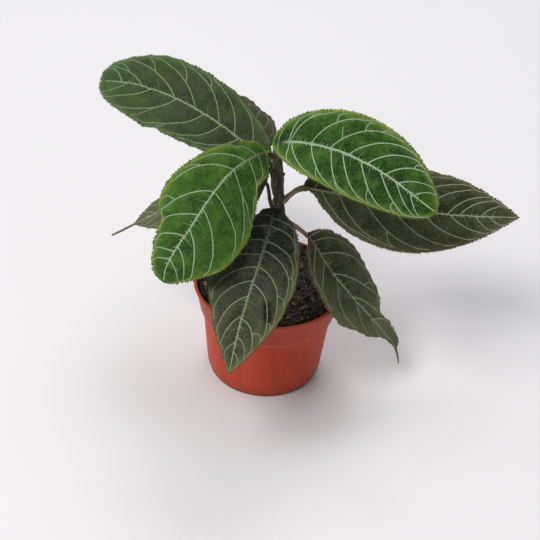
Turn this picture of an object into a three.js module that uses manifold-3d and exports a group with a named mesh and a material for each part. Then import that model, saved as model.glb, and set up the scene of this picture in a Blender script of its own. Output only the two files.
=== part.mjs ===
// A potted foliage plant: a terracotta-coloured growing pot full of soil, one ridged stem and eight large
// toothed leaves. Millimetres, +Z up, origin at the centre of the pot's underside, viewed along +Y.
import * as THREE from "three";
import { mergeVertices } from "three/addons/utils/BufferGeometryUtils.js";
import Module from "manifold-3d";

const wasm = await Module();
wasm.setup();

// Clear gap between pieces that touch
const GAP = 0.3;

// Pot
const RIM_RADIUS = 58;
const POT_HEIGHT = 81.5;
const BASE_RADIUS = 43;
const BODY_RADII = [44.1, 50];
const COLLAR_HEIGHT = 23;
const COLLAR_FOOT_RADIUS = 52.2;
const LIP_HEIGHT = 2.2;
const LIP_OVERHANG = 0.9;
const WALL = 1.5;
const FLOOR = 2.2;
const BASE_BEVEL = 1.6;
const BASE_FLARE = 8;
const COLLAR_SHOULDER = 2.4;
const POT_SIDES = 48;
const DRAIN_HOLES = 6;
const DRAIN_HOLE_RADIUS = 4.5;
const DRAIN_CIRCLE = 28;
const POT_COLOUR = 0xa34a30;

// Soil
const SOIL_LEVEL = 78;
const SOIL_RINGS = 10;
const SOIL_EDGE_DROP = 2.4;
const LUMP_HEIGHT = 0.75;
const MOUND_HEIGHT = 1.6;
const CRUMB_HEIGHT = 0.8;
const CHIP_COUNT = 26;
const CHIP_SIZES = [2, 4.4];
const CHIP_FREE_RADIUS = 13;
const GOLDEN_ANGLE = 2.39996;
const STEM_HOLE_DEPTH = 14;
const STEM_HOLE_CLEARANCE = 0.9;
const SOIL_COLOUR = 0x2a1c15;

// The stem and the leaves are laid out upright and then lean back about the X axis at this height
const PLANT_LEAN = 4.4;
const PLANT_PIVOT = 77.5;

// Stem: it curves from the middle of the pot towards -X as it rises
const STEM_FOOT_X = 6.5;
const STEM_LEAN = 8.3;
const STEM_LEAN_START = 70.5;
const STEM_LEAN_HEIGHT = 125;
const STEM_LEAN_POWER = 2;
const STEM_RADIUS = 3.8;
const STEM_TOP = 198;
const BUD_START = 186;
const STEM_SIDES = 12;
const STEM_RINGS = 34;
const NODE_SWELL = 0.5;
const NODE_SWELL_HEIGHT = 3;
const STEM_RIDGES = 5;
const RIDGE_DEPTH = 0.07;
const RIDGE_WIND = 0.03;
const STEM_COLOUR = 0x3a3326;

// Leaf sections
const BLADE_THICKNESS = 0.9;
const MIDRIB_DEPTH = 0.9;
const PETIOLE_SIDES = 8;
const PETIOLE_STEPS = 7;
const PETIOLE_DEPTHS = [1.6, 1.1];
const PETIOLE_SINK = 0.35;
const BLADE_STEPS = 48;
const ACROSS = [-1, -0.5, 0, 0.5, 1];
const STATION_SHIFT = 0.1;
const TOOTH = 0.45;
const MIDRIB_STEPS = 240;

// Each leaf's midrib leaves its base at an azimuth and a rise, droops along its length by the given angle
// and swings sideways; hookDrop and hookSwing bend the stretch past hookStart further. The blade is rolled
// and twisted about the midrib, folded up at it and curled down towards the margins. Its half width follows
// s^inner (1-s)^outer, and a drip tip takes the given share of the length. The left half is wider by the
// share lean, and by leanTip more towards the tip. Angles are in degrees. A notch is [side, place along the
// blade, depth, length]; side 1 is left of the midrib, seen from the base, and a bulge has a negative depth.
// wander is how far the midrib strays to the left: the size of an arch, that of an S, and a power that moves
// both towards the tip. foot is the midrib's stray at the base and how far along the blade it reaches, and
// arch lifts the petiole. cleft is the depth of a nick in the tip, and wave the [size, count, phase] of the
// margin's ripple.
const LEAVES = {
  leaf_upper_left: {
    colour: 0x3c4b38, node: [174, 158], petiole: [1.7, 1.4], join: 0.06, arch: 0, foot: [0, 1],
    base: [-5.4, 2.4, 181.4], azimuth: 157.6, rise: 30.4, droop: 46, bend: 1.53, swing: 0,
    hookStart: 0.8, hookDrop: 0, hookSwing: 8.4, roll: -24.3, twist: -7, fold: 10, curl: 10,
    length: 150, halfWidth: 31.5, inner: 0.66, outer: 0.51, drip: 0, lean: -0.01, leanTip: 0,
    wander: [0, 0, 1], wave: [0.9, 3.2, 0.3], cleft: 2.6,
    notches: [[-1, 0.44, 1.8, 0.035], [1, 0.62, 1, 0.035]],
  },
  leaf_front_left: {
    colour: 0x3f6b2c, node: [190.5, -140], petiole: [1.7, 1.4], join: 0.02, arch: 0, foot: [0, 1],
    base: [-6.9, -5.8, 196.4], azimuth: -121.3, rise: 4.4, droop: 46, bend: 0.85, swing: -6.5,
    hookStart: 0.74, hookDrop: 63, hookSwing: -10.5, roll: -57, twist: 42, fold: 2.2, curl: 12.2,
    length: 141, halfWidth: 33.5, inner: 0.82, outer: 0.64, drip: 0, lean: 0, leanTip: 0.38,
    wander: [-1.8, -2.8, 1], wave: [1.3, 3.4, 0.2], cleft: 0, notches: [
      [-1, 0.01, 5, 0.03], [-1, 0.06, -2, 0.03], [-1, 0.178, 3.4, 0.02], [-1, 0.55, -2.5, 0.1],
      [-1, 0.715, 2.5, 0.02], [-1, 0.77, 5.8, 0.065], [-1, 0.87, 2.5, 0.05], [1, 0.01, 6, 0.03],
      [1, 0.072, -6, 0.03], [1, 0.21, 6.2, 0.06], [1, 0.4, -2.4, 0.2],
    ],
  },
  leaf_upper_right: {
    colour: 0x3f7028, node: [190, -50], petiole: [1.7, 1.4], join: 0.06, arch: 0, foot: [0, 1],
    base: [-4.5, 1, 199.8], azimuth: -35, rise: 28.5, droop: 54, bend: 0.85, swing: -3,
    hookStart: 0.8, hookDrop: -5, hookSwing: 12, roll: 46, twist: 10, fold: 16.5, curl: 7,
    length: 145, halfWidth: 28.5, inner: 0.62, outer: 0.6, drip: 0, lean: 0.03, leanTip: 0,
    wander: [0, 0, 1], wave: [0.7, 2.6, 0.6], cleft: 0, notches: [],
  },
  leaf_right: {
    colour: 0x343a28, node: [153, 5], petiole: [2.8, 3], join: 0.03, arch: 7, foot: [-2.8, 0.15],
    base: [20.5, 3.5, 167], azimuth: 8, rise: -17, droop: -16, bend: 1.2, swing: 0.5,
    hookStart: 0.75, hookDrop: -2, hookSwing: -10, roll: 28, twist: 22, fold: 12, curl: 22,
    length: 170, halfWidth: 36.6, inner: 0.76, outer: 0.97, drip: 0.003, lean: 0.03, leanTip: 0,
    wander: [-1.5, 0.6, 1], wave: [0.8, 3.1, 0.5], cleft: 0, notches: [[-1, 0.045, 3, 0.025]],
  },
  leaf_front: {
    colour: 0x2f3a2c, node: [145, -98], petiole: [1.9, 1.6], join: 0.05, arch: 0, foot: [0, 1],
    base: [0.5, -12.5, 153], azimuth: -101.5, rise: -10, droop: 23.5, bend: 1.2, swing: 4,
    hookStart: 0.8, hookDrop: 3, hookSwing: -2, roll: -4.5, twist: -20.5, fold: 10, curl: 12,
    length: 148, halfWidth: 31.6, inner: 0.72, outer: 0.97, drip: 0.005, lean: 0.02, leanTip: 0,
    wander: [1.4, 0.9, 1], wave: [1, 3.3, 0.4], cleft: 0,
    notches: [[1, 0.01, -2, 0.02], [1, 0.33, 2, 0.2], [1, 0.56, 1.2, 0.035], [-1, 0.09, 5, 0.045]],
  },
  leaf_lower_right: {
    colour: 0x3a402c, node: [137, -12], petiole: [1.8, 1.5], join: 0.04, arch: 0, foot: [3.2, 0.24],
    base: [25.2, -7.3, 129], azimuth: -7, rise: -50, droop: 0, bend: 1.2, swing: 6.6,
    hookStart: 0.783, hookDrop: 37, hookSwing: -16, roll: 15, twist: -6, fold: 18, curl: 15,
    length: 135, halfWidth: 37, inner: 0.69, outer: 1.1, drip: 0.1, lean: -0.03, leanTip: 0,
    wander: [-2.9, -1.3, 0.95], wave: [1.1, 3.6, 0.7], cleft: 0, notches: [
      [1, 0.07, 2, 0.03], [1, 0.145, 2.6, 0.045], [1, 0.44, -2.2, 0.06], [1, 0.565, 3, 0.05],
      [1, 0.675, 10.5, 0.065], [1, 0.795, -2, 0.03], [1, 0.87, -4.5, 0.035], [-1, 0.285, -1.8, 0.05],
      [-1, 0.46, -2.4, 0.06], [-1, 0.745, 5, 0.09], [-1, 0.87, 1.5, 0.04],
    ],
  },
  leaf_left_behind: {
    colour: 0x414733, node: [143, 150], petiole: [1.7, 1.4], join: 0.03, arch: 0, foot: [0, 1],
    base: [-7, 6, 165.5], azimuth: 160.3, rise: -22, droop: 24.3, bend: 1, swing: 1.5,
    hookStart: 0.75, hookDrop: -10, hookSwing: 4, roll: -25, twist: -2, fold: 8, curl: 14,
    length: 152.4, halfWidth: 31, inner: 0.6, outer: 0.97, drip: 0.16, lean: 0, leanTip: 0,
    wander: [0, 0, 1], wave: [0.9, 3, 0.1], cleft: 0, notches: [[1, 0.02, -7, 0.06], [-1, 0.02, -5, 0.06]],
  },
  leaf_back: {
    colour: 0x3e3c2c, node: [171, 112], petiole: [1.8, 1.5], join: 0.04, arch: 0, foot: [0, 1],
    base: [-10, 21, 183.5], azimuth: 122, rise: 11.5, droop: 38, bend: 1.3, swing: 0.5,
    hookStart: 0.8, hookDrop: 0, hookSwing: 0, roll: 4, twist: 1.5, fold: 7.5, curl: 15,
    length: 138, halfWidth: 31, inner: 0.58, outer: 0.62, drip: 0, lean: 0, leanTip: 0,
    wander: [0, 0, 1], wave: [1, 3.1, 0.8], cleft: 0, notches: [],
  },
};

const radians = THREE.MathUtils.degToRad;
const mix = THREE.MathUtils.lerp;
const clamp = THREE.MathUtils.clamp;
const smooth = THREE.MathUtils.smoothstep;

// A closed surface swept through rings of equally many points, with a flat fan over each end
function sweptGeometry(rings) {
  const sides = rings[0].length;
  const points = rings.flat();
  const faces = [];
  for (let ring = 0; ring + 1 < rings.length; ring += 1) {
    for (let side = 0; side < sides; side += 1) {
      const next = (side + 1) % sides;
      const a = ring * sides + side;
      const b = ring * sides + next;
      faces.push(a, b, b + sides, a, b + sides, a + sides);
    }
  }
  for (const [ring, turned] of [[0, true], [rings.length - 1, false]]) {
    const middle = points.length;
    const centre = new THREE.Vector3();
    rings[ring].forEach((point) => centre.addScaledVector(point, 1 / sides));
    points.push(centre);
    for (let side = 0; side < sides; side += 1) {
      const a = ring * sides + side;
      const b = ring * sides + ((side + 1) % sides);
      faces.push(middle, turned ? b : a, turned ? a : b);
    }
  }
  const geometry = new THREE.BufferGeometry();
  geometry.setAttribute("position", new THREE.Float32BufferAttribute(points.flatMap((p) => p.toArray()), 3));
  geometry.setIndex(faces);
  return geometry;
}

function toSolid(geometry) {
  const bare = geometry.clone();
  bare.deleteAttribute("normal");
  bare.deleteAttribute("uv");
  const merged = mergeVertices(bare, 1e-4);
  return new wasm.Manifold(new wasm.Mesh({
    numProp: 3,
    vertProperties: new Float32Array(merged.attributes.position.array),
    triVerts: new Uint32Array(merged.index.array),
  }));
}

function toGeometry(solid) {
  const mesh = solid.getMesh();
  const geometry = new THREE.BufferGeometry();
  geometry.setAttribute("position", new THREE.Float32BufferAttribute(mesh.vertProperties, 3));
  geometry.setIndex(Array.from(mesh.triVerts));
  geometry.computeVertexNormals();
  return geometry;
}

// Repeatable value between 0 and 1 for a whole number
function scatter(number) {
  const turned = Math.sin(number * 12.9898 + 4.1414) * 43758.5453;
  return turned - Math.floor(turned);
}

function leanBack(geometry) {
  geometry.translate(0, 0, -PLANT_PIVOT);
  geometry.rotateX(-radians(PLANT_LEAN));
  geometry.translate(0, 0, PLANT_PIVOT);
  return geometry;
}

// Radius of the pot's outer wall at a height, and of its inner wall
function outerRadius(z) {
  const collar = POT_HEIGHT - COLLAR_HEIGHT;
  if (z >= collar) {
    return mix(COLLAR_FOOT_RADIUS, RIM_RADIUS - LIP_OVERHANG, (z - collar) / COLLAR_HEIGHT);
  }
  const body = mix(...BODY_RADII, z / collar);
  return mix(BASE_RADIUS, body, smooth(z, 0, BASE_FLARE));
}

function innerRadius(z) {
  return outerRadius(z) - WALL;
}

function potGeometry() {
  const collar = POT_HEIGHT - COLLAR_HEIGHT;
  const lip = POT_HEIGHT - LIP_HEIGHT;
  const profile = [
    [0, 0],
    [BASE_RADIUS - BASE_BEVEL, 0],
    [BASE_RADIUS - 0.4 * BASE_BEVEL, 0.35 * BASE_BEVEL],
    [outerRadius(1.1 * BASE_BEVEL), 1.1 * BASE_BEVEL],
    [outerRadius(BASE_FLARE), BASE_FLARE],
    [outerRadius(collar - 0.8), collar - 0.8],
    [outerRadius(collar), collar],
    [outerRadius(lip - 0.6), lip - 0.6],
    [RIM_RADIUS - 0.2, lip],
    [RIM_RADIUS, lip + 0.5 * LIP_HEIGHT],
    [RIM_RADIUS - 0.4, POT_HEIGHT - 0.3],
    [RIM_RADIUS - 1, POT_HEIGHT],
    [innerRadius(POT_HEIGHT) + 0.3, POT_HEIGHT - 0.2],
    [innerRadius(POT_HEIGHT - 1.2), POT_HEIGHT - 1.2],
    [innerRadius(collar + 0.4), collar + 0.4],
    [innerRadius(collar - COLLAR_SHOULDER), collar - COLLAR_SHOULDER],
    [innerRadius(BASE_FLARE), BASE_FLARE],
    [innerRadius(FLOOR), FLOOR],
    [0, FLOOR],
  ];
  const shell = new THREE.LatheGeometry(profile.map(([r, z]) => new THREE.Vector2(r, z)), POT_SIDES);
  shell.rotateX(Math.PI / 2);
  let solid = toSolid(shell);
  for (let hole = 0; hole < DRAIN_HOLES; hole += 1) {
    const turn = (hole + 0.5) * 2 * Math.PI / DRAIN_HOLES;
    const drill = new THREE.CylinderGeometry(DRAIN_HOLE_RADIUS, DRAIN_HOLE_RADIUS, 4 * FLOOR, 12);
    drill.rotateX(Math.PI / 2);
    drill.translate(DRAIN_CIRCLE * Math.cos(turn), DRAIN_CIRCLE * Math.sin(turn), 0);
    solid = solid.subtract(toSolid(drill));
  }
  return toGeometry(solid);
}

// Soft lumps of the soil's top, a little higher round the stem
function soilHeight(x, y) {
  const lumps = Math.sin(0.31 * x + 1.3) * Math.cos(0.27 * y - 0.4) + 0.6 * Math.sin(0.63 * x - 0.55 * y);
  const mound = MOUND_HEIGHT * Math.exp(-((x - STEM_FOOT_X) ** 2 + y ** 2) / 260);
  return SOIL_LEVEL + LUMP_HEIGHT * lumps + mound;
}

function soilGeometry() {
  const collar = POT_HEIGHT - COLLAR_HEIGHT;
  const edgeLevel = SOIL_LEVEL - SOIL_EDGE_DROP;
  const levels = [FLOOR + GAP, BASE_FLARE, collar - COLLAR_SHOULDER - 0.2, collar + 1.2, edgeLevel];
  const rings = levels.map((z) => Array.from({ length: POT_SIDES }, (_, side) => {
    const turn = 2 * Math.PI * side / POT_SIDES;
    const radius = innerRadius(z) - GAP;
    return new THREE.Vector3(radius * Math.cos(turn), radius * Math.sin(turn), z);
  }));
  const edge = innerRadius(edgeLevel) - GAP;
  for (let ring = 0; ring < SOIL_RINGS; ring += 1) {
    const radius = edge * (1 - (ring + 0.25) / SOIL_RINGS);
    rings.push(Array.from({ length: POT_SIDES }, (_, side) => {
      const turn = 2 * Math.PI * (side + 0.5 * (ring % 2)) / POT_SIDES;
      const x = radius * Math.cos(turn);
      const y = radius * Math.sin(turn);
      const crumb = CRUMB_HEIGHT * (scatter(97 * ring + side) - 0.5) * smooth(radius, 4, 12);
      const drop = 0.5 * SOIL_EDGE_DROP * smooth(radius, edge - 5, edge);
      return new THREE.Vector3(x, y, soilHeight(x, y) + crumb - drop);
    }));
  }
  let solid = toSolid(sweptGeometry(rings));
  for (let chip = 0; chip < CHIP_COUNT; chip += 1) {
    solid = solid.add(toSolid(barkChip(chip, edge)));
  }
  const holeRadius = STEM_RADIUS + STEM_HOLE_CLEARANCE;
  const drill = new THREE.CylinderGeometry(holeRadius, holeRadius, 2 * STEM_HOLE_DEPTH, 20);
  drill.rotateX(Math.PI / 2);
  drill.translate(STEM_FOOT_X, 0, SOIL_LEVEL);
  const cut = solid.subtract(toSolid(leanBack(drill)));
  const bodies = cut.decompose().sort((a, b) => b.volume() - a.volume());
  return toGeometry(bodies[0]);
}

// One flat piece of bark, half sunk in the soil, on a sunflower spiral that leaves the stem clear
function barkChip(number, edge) {
  const size = mix(...CHIP_SIZES, scatter(number + 11));
  const radius = mix(CHIP_FREE_RADIUS, edge - 5, Math.sqrt((number + 0.5) / CHIP_COUNT));
  const turn = number * GOLDEN_ANGLE;
  const x = radius * Math.cos(turn);
  const y = radius * Math.sin(turn);
  const chip = new THREE.BoxGeometry(1.7 * size, size, 0.9 * size);
  chip.rotateX(0.5 * (scatter(number + 31) - 0.5));
  chip.rotateY(0.7 * (scatter(number + 47) - 0.5));
  chip.rotateZ(6.3 * scatter(number + 71));
  chip.translate(x, y, soilHeight(x, y) + 0.15 * size);
  return chip;
}

function stemAxis(z) {
  const share = clamp((z - STEM_LEAN_START) / STEM_LEAN_HEIGHT, 0, 2);
  return new THREE.Vector3(STEM_FOOT_X - STEM_LEAN * share ** STEM_LEAN_POWER, 0, z);
}

function stemRadius(z) {
  const bud = clamp((z - BUD_START) / (STEM_TOP - BUD_START), 0, 1);
  const taper = Math.sqrt(1 - 0.93 * bud ** 1.6);
  const heights = Object.values(LEAVES).map((leaf) => leaf.node[0]);
  const swells = heights.map((height) => Math.exp(-(((z - height) / NODE_SWELL_HEIGHT) ** 2)));
  return (STEM_RADIUS + NODE_SWELL * Math.min(1, Math.max(...swells)) * (1 - bud)) * taper;
}

// Rounded ridges that wind a little up the stem
function stemRidge(turn, z) {
  return 1 - RIDGE_DEPTH * (0.5 - 0.5 * Math.cos(STEM_RIDGES * turn + RIDGE_WIND * z)) ** 2;
}

function stemGeometry() {
  const foot = SOIL_LEVEL - STEM_HOLE_DEPTH + GAP;
  const rings = Array.from({ length: STEM_RINGS + 1 }, (_, ring) => {
    const share = ring / STEM_RINGS;
    const z = mix(foot, STEM_TOP, share ** 0.85);
    const axis = stemAxis(z);
    return Array.from({ length: STEM_SIDES }, (__, side) => {
      const turn = 2 * Math.PI * side / STEM_SIDES;
      const radius = stemRadius(z) * stemRidge(turn, z);
      return new THREE.Vector3(axis.x + radius * Math.cos(turn), axis.y + radius * Math.sin(turn), z);
    });
  });
  return sweptGeometry(rings);
}

// Direction, left side and upper side of the blade at a place s along the midrib
function bladeFrame(leaf, s) {
  const hook = clamp((s - leaf.hookStart) / (1 - leaf.hookStart), 0, 1) ** 1.5;
  const pitch = radians(leaf.rise - leaf.droop * s ** leaf.bend - leaf.hookDrop * hook);
  const heading = radians(leaf.azimuth + leaf.swing * s + leaf.hookSwing * hook);
  const along = new THREE.Vector3(
    Math.cos(pitch) * Math.cos(heading), Math.cos(pitch) * Math.sin(heading), Math.sin(pitch));
  const level = new THREE.Vector3(-Math.sin(heading), Math.cos(heading), 0);
  const left = level.applyAxisAngle(along, radians(leaf.roll + leaf.twist * s));
  const up = new THREE.Vector3().crossVectors(along, left);
  return { along, left, up };
}

// Points along the midrib, added up from short straight steps
function midribPoints(leaf) {
  const points = [new THREE.Vector3(...leaf.base)];
  for (let step = 0; step < MIDRIB_STEPS; step += 1) {
    const { along } = bladeFrame(leaf, (step + 0.5) / MIDRIB_STEPS);
    points.push(points[step].clone().addScaledVector(along, leaf.length / MIDRIB_STEPS));
  }
  return points;
}

function midribPoint(points, s) {
  const place = clamp(s, 0, 1) * MIDRIB_STEPS;
  const before = Math.min(Math.floor(place), MIDRIB_STEPS - 1);
  return points[before].clone().lerp(points[before + 1], place - before);
}

// Distance of the midrib to the left of the blade's middle line
function midribShift(leaf, s) {
  const turn = Math.PI * clamp(s / (1 - leaf.drip), 0, 1) ** leaf.wander[2];
  const [foot, reach] = leaf.foot;
  const stray = leaf.wander[0] * Math.sin(turn) + leaf.wander[1] * Math.sin(2 * turn);
  return stray + foot * Math.exp(-((s / reach) ** 2));
}

function bladeHalfWidth(leaf, s, side) {
  const body = clamp(s / (1 - leaf.drip), 0, 1);
  const widest = leaf.inner / (leaf.inner + leaf.outer);
  const peak = widest ** leaf.inner * (1 - widest) ** leaf.outer;
  const lean = 1 + side * (leaf.lean + leaf.leanTip * s * s);
  let half = leaf.halfWidth * lean * body ** leaf.inner * (1 - body) ** leaf.outer / peak;
  half -= side * midribShift(leaf, s);
  for (const [notchSide, place, depth, width] of leaf.notches) {
    if (notchSide === side) {
      half -= depth * Math.exp(-(((s - place) / width) ** 2));
    }
  }
  const stalk = mix(1.1, leaf.drip > 0.05 ? 2 * (1 - s) ** 0.6 : 0.7, smooth(s, 0, 0.3));
  return Math.hypot(Math.max(half, 0), Math.max(stalk, 0.45));
}

// A point of the blade, w from -1 at the right margin to 1 at the left one, lifted off its middle surface
function bladePoint(leaf, midrib, s, w, lift, tooth) {
  const { along, left, up } = bladeFrame(leaf, s);
  const side = Math.sign(w);
  const half = bladeHalfWidth(leaf, s, side) + tooth * Math.abs(w);
  const reach = Math.abs(w) * half;
  const tilt = radians(leaf.fold - leaf.curl * reach / leaf.halfWidth);
  const [size, count, phase] = leaf.wave;
  const envelope = w * w * smooth(half, 2, 14);
  const ripple = size * envelope * Math.sin(2 * Math.PI * (count * s + phase + 0.37 * side));
  const indent = leaf.cleft * smooth(s, 0.95, 1) * (1 - Math.abs(w));
  const normal = up.clone().multiplyScalar(Math.cos(tilt)).addScaledVector(left, -side * Math.sin(tilt));
  return midribPoint(midrib, s)
    .addScaledVector(left, midribShift(leaf, s) + side * reach * Math.cos(tilt))
    .addScaledVector(up, reach * Math.sin(tilt))
    .addScaledVector(normal, ripple + lift)
    .addScaledVector(along, -indent);
}

function bladeGeometry(leaf, midrib) {
  const rings = Array.from({ length: BLADE_STEPS + 1 }, (_, step) => {
    const even = step / BLADE_STEPS;
    const s = even - STATION_SHIFT * Math.sin(2 * Math.PI * even);
    const room = smooth(s, 0.02, 0.1) * (1 - smooth(s, 0.92, 0.99));
    const tooth = (step % 2 ? TOOTH : -TOOTH) * room;
    const top = ACROSS.map((w) => bladePoint(leaf, midrib, s, w, 0.5 * BLADE_THICKNESS, tooth));
    const bottom = ACROSS.map((w) => {
      const rib = w === 0 ? MIDRIB_DEPTH * (1 - 0.8 * s) : 0;
      return bladePoint(leaf, midrib, s, w, -0.5 * BLADE_THICKNESS - rib, tooth);
    });
    return [...top.reverse(), ...bottom];
  });
  return sweptGeometry(rings);
}

// A petiole from just off the stem to the underside of the midrib, its end sunk into the blade
function petioleGeometry(leaf, midrib) {
  const [height, azimuth] = leaf.node;
  const out = new THREE.Vector3(Math.cos(radians(azimuth)), Math.sin(radians(azimuth)), 0);
  const axis = stemAxis(height);
  const start = axis.clone().addScaledVector(out, stemRadius(height) + GAP);
  const { along, left, up } = bladeFrame(leaf, leaf.join);
  const end = midribPoint(midrib, leaf.join)
    .addScaledVector(left, midribShift(leaf, leaf.join))
    .addScaledVector(up, -PETIOLE_SINK);
  const span = start.distanceTo(end);
  const first = start.clone().addScaledVector(out, 0.4 * span);
  first.z += 0.25 * (end.z - start.z) + leaf.arch;
  const last = end.clone().addScaledVector(along, -0.35 * span).addScaledVector(up, -0.08 * span);
  const path = new THREE.CubicBezierCurve3(start, first, last, end);
  const startLeft = new THREE.Vector3(-out.y, out.x, 0);
  const rings = Array.from({ length: PETIOLE_STEPS + 1 }, (_, step) => {
    const t = step / PETIOLE_STEPS;
    const forward = step === 0 ? out.clone() : path.getTangent(t);
    const side = startLeft.clone().lerp(left, t);
    side.addScaledVector(forward, -side.dot(forward)).normalize();
    const over = new THREE.Vector3().crossVectors(forward, side);
    const width = mix(...leaf.petiole, t);
    const depth = mix(...PETIOLE_DEPTHS, t);
    return Array.from({ length: PETIOLE_SIDES }, (__, corner) => {
      const turn = 2 * Math.PI * (corner + 0.5) / PETIOLE_SIDES;
      return path.getPoint(t)
        .addScaledVector(side, width * Math.cos(turn))
        .addScaledVector(over, depth * Math.sin(turn));
    });
  });
  return sweptGeometry(rings);
}

function leafGeometry(leaf) {
  const midrib = midribPoints(leaf);
  const blade = toSolid(bladeGeometry(leaf, midrib));
  return toGeometry(blade.add(toSolid(petioleGeometry(leaf, midrib))));
}

function piece(name, geometry, colour, roughness) {
  const material = new THREE.MeshStandardMaterial({ color: colour, roughness, metalness: 0 });
  const mesh = new THREE.Mesh(geometry, material);
  mesh.name = name;
  return mesh;
}

const plant = new THREE.Group();
plant.add(piece("pot", potGeometry(), POT_COLOUR, 0.45));
plant.add(piece("soil", soilGeometry(), SOIL_COLOUR, 0.95));
plant.add(piece("stem", leanBack(stemGeometry()), STEM_COLOUR, 0.7));
for (const [name, leaf] of Object.entries(LEAVES)) {
  plant.add(piece(name, leanBack(leafGeometry(leaf)), leaf.colour, 0.55));
}

export default plant;
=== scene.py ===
"""Looks of a potted foliage plant: a growing pot of soil, a ridged stem and eight pale-veined leaves.

Meshes are in metres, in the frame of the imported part. The formulas of leaves, stem and soil are in
millimetres and are scaled by MM as they are written to a mesh.
"""

import math
import random
from collections import namedtuple

import bpy
import numpy as np
from bpy.props import FloatProperty, FloatVectorProperty, IntProperty, PointerProperty
from mathutils import Euler, Matrix, Vector, noise


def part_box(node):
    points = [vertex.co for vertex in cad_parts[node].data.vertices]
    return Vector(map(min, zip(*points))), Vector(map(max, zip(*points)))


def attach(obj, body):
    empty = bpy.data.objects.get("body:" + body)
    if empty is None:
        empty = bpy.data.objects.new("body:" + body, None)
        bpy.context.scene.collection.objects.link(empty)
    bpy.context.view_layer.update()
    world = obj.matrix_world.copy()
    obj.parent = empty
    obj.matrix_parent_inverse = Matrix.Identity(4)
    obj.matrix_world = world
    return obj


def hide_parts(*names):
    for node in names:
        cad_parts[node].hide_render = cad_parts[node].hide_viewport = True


bl_info = {
    "name": "Potted Foliage Plant",
    "version": (1, 0, 0),
    "blender": (4, 5, 0),
    "location": "View3D > Sidebar > Foliage",
    "description": "Dresses the packed pot, soil, stem and leaves of a foliage plant",
    "category": "Object",
}

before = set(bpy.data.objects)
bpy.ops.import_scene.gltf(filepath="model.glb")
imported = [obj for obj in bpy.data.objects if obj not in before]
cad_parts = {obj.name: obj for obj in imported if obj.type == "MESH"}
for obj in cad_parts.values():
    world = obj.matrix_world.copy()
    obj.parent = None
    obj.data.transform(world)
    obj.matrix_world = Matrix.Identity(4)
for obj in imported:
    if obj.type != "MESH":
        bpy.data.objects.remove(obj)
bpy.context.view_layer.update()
MM = 0.001

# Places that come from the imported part
POT_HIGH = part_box("pot")[1]
SOIL_LOW, SOIL_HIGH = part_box("soil")

# Pot, in millimetres: lip, rounding and flare of the base, ledge under the collar, and drain holes
LIP_OVERHANG = 0.9
LIP_HEIGHT = 2.2
BASE_BEVEL = 1.6
BASE_FLARE = 8
LEDGE = 1.2
DRAIN_HOLES = 6
DRAIN_RADIUS = 4.5
DRAIN_RING = 28
DRAIN_DEPTH = 12

# Soil, in millimetres: level of its top, (radius, height) of its side, how far its lumps drop at its edge,
# and the heap at the rim as (x, y, reach in x, reach in y, height)
SOIL_LEVEL = 78
SOIL_FLOOR_RADIUS = 41.2
SOIL_SIDE = ((42.1, 8), (47.7, 55.5), (50.2, 59.8))
SOIL_EDGE_HEIGHT = 75.6
SOIL_EDGE_DROP = 1.4
SOIL_HEAP = (17, 47, 13, 9, 7)

# The stem and the leaves are laid out upright and then lean back about the X axis at this height
PLANT_LEAN = 4.4
PLANT_PIVOT = 77.5

# Stem, in millimetres: it curves from its foot towards -X as it rises. The hairs have their own radii, and
# STALK_HAIRS is their number on each petiole.
STEM_FOOT_X = 6.5
STEM_FOOT = 64.3
STEM_LEAN = 8.3
STEM_LEAN_START = 70.5
STEM_LEAN_HEIGHT = 125
STEM_LEAN_POWER = 2
STEM_RADIUS = 3.8
STEM_TOP = 198
BUD_START = 186
NODE_SWELL = 0.5
NODE_SWELL_HEIGHT = 3
HAIR_RADIUS = 0.055
STALK_HAIR_RADIUS = 0.06
STALK_HAIRS = 60

# Scales of the bud: turn and tilt in radians, and size
BUD_SCALES = ((0.4, 0.16, 1.0), (2.6, 0.2, 0.86), (4.5, 0.12, 0.95))
BUD_SCALE_LENGTH = 7.2
BUD_SCALE_FOOT = 192.5
BUD_SCALE_AXIS = 194

# Stubs of shed leaves on the stem: height, azimuth in degrees, length, radius and outward lean
STUBS = ((171, 208, 9, 1.7, 0.3), (158, 200, 22, 1.5, 0.1), (163, 232, 17, 1.2, 0.2),
         (175, -20, 2.6, 1.1, 0.7), (162, -75, 3, 1.5, 0.5), (150, 160, 3, 1.3, 0.6),
         (120, 40, 2.5, 1.4, 0.6))

# Leaves, in millimetres and degrees, seen from the base with the upper side on top. PLAIN_LEAF holds what
# a leaf has where it doesn't say otherwise. Places along a blade run from 0 at its base to 1 at its tip.
# Shape: node is the petiole's height and azimuth on the stem, petiole its half widths at the stem and at
# the blade, join the place where it ends, and arch its lift. The midrib leaves base at an azimuth and a
# rise, droops (bend is the power) and swings along its length, and past hook_start by hook_drop and
# hook_swing more. The blade is rolled and twisted about it, folded up at it and curled down to the
# margins. inner and outer are the outline's powers at the base and at the tip, and drip is the share of
# the length that the drip tip takes. lean makes the left half wider, lean_tip more so towards the tip.
# wander is how far the midrib strays to the left in one bow and in two, and their power, and foot its
# stray at the base and how far that reaches. wave is the ruffle's height, number and phase, and cleft the
# depth of the notch in the tip. A notch in the margin is (side, place, depth, length) and side 1 is the
# left.
# Veins: left and right hold the (start, end) of each side vein as places along the blade. lie holds for
# each side how far along, and how far out, a vein's bend lies. A fork is (side, place and distance from
# the midrib of its root, place and distance of its corner). A crease is (place, distance, place,
# distance, height).
# Looks: flush is how strongly the petiole's brown runs up the midrib, and how far. fresh holds the tones
# of the left and the right half, which are the leaf's own tone together with painted light, shade and
# sheen, and pale the paleness of the veins, at each of TONE_PLACES.
PLAIN_LEAF = dict(
    arch=0, foot=(0, 1), hook_start=0.8, hook_drop=0, hook_swing=0, swing=0, drip=0, lean=0, lean_tip=0,
    wander=(0, 0, 1), cleft=0, notches=(), creases=(), forks=())
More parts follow.
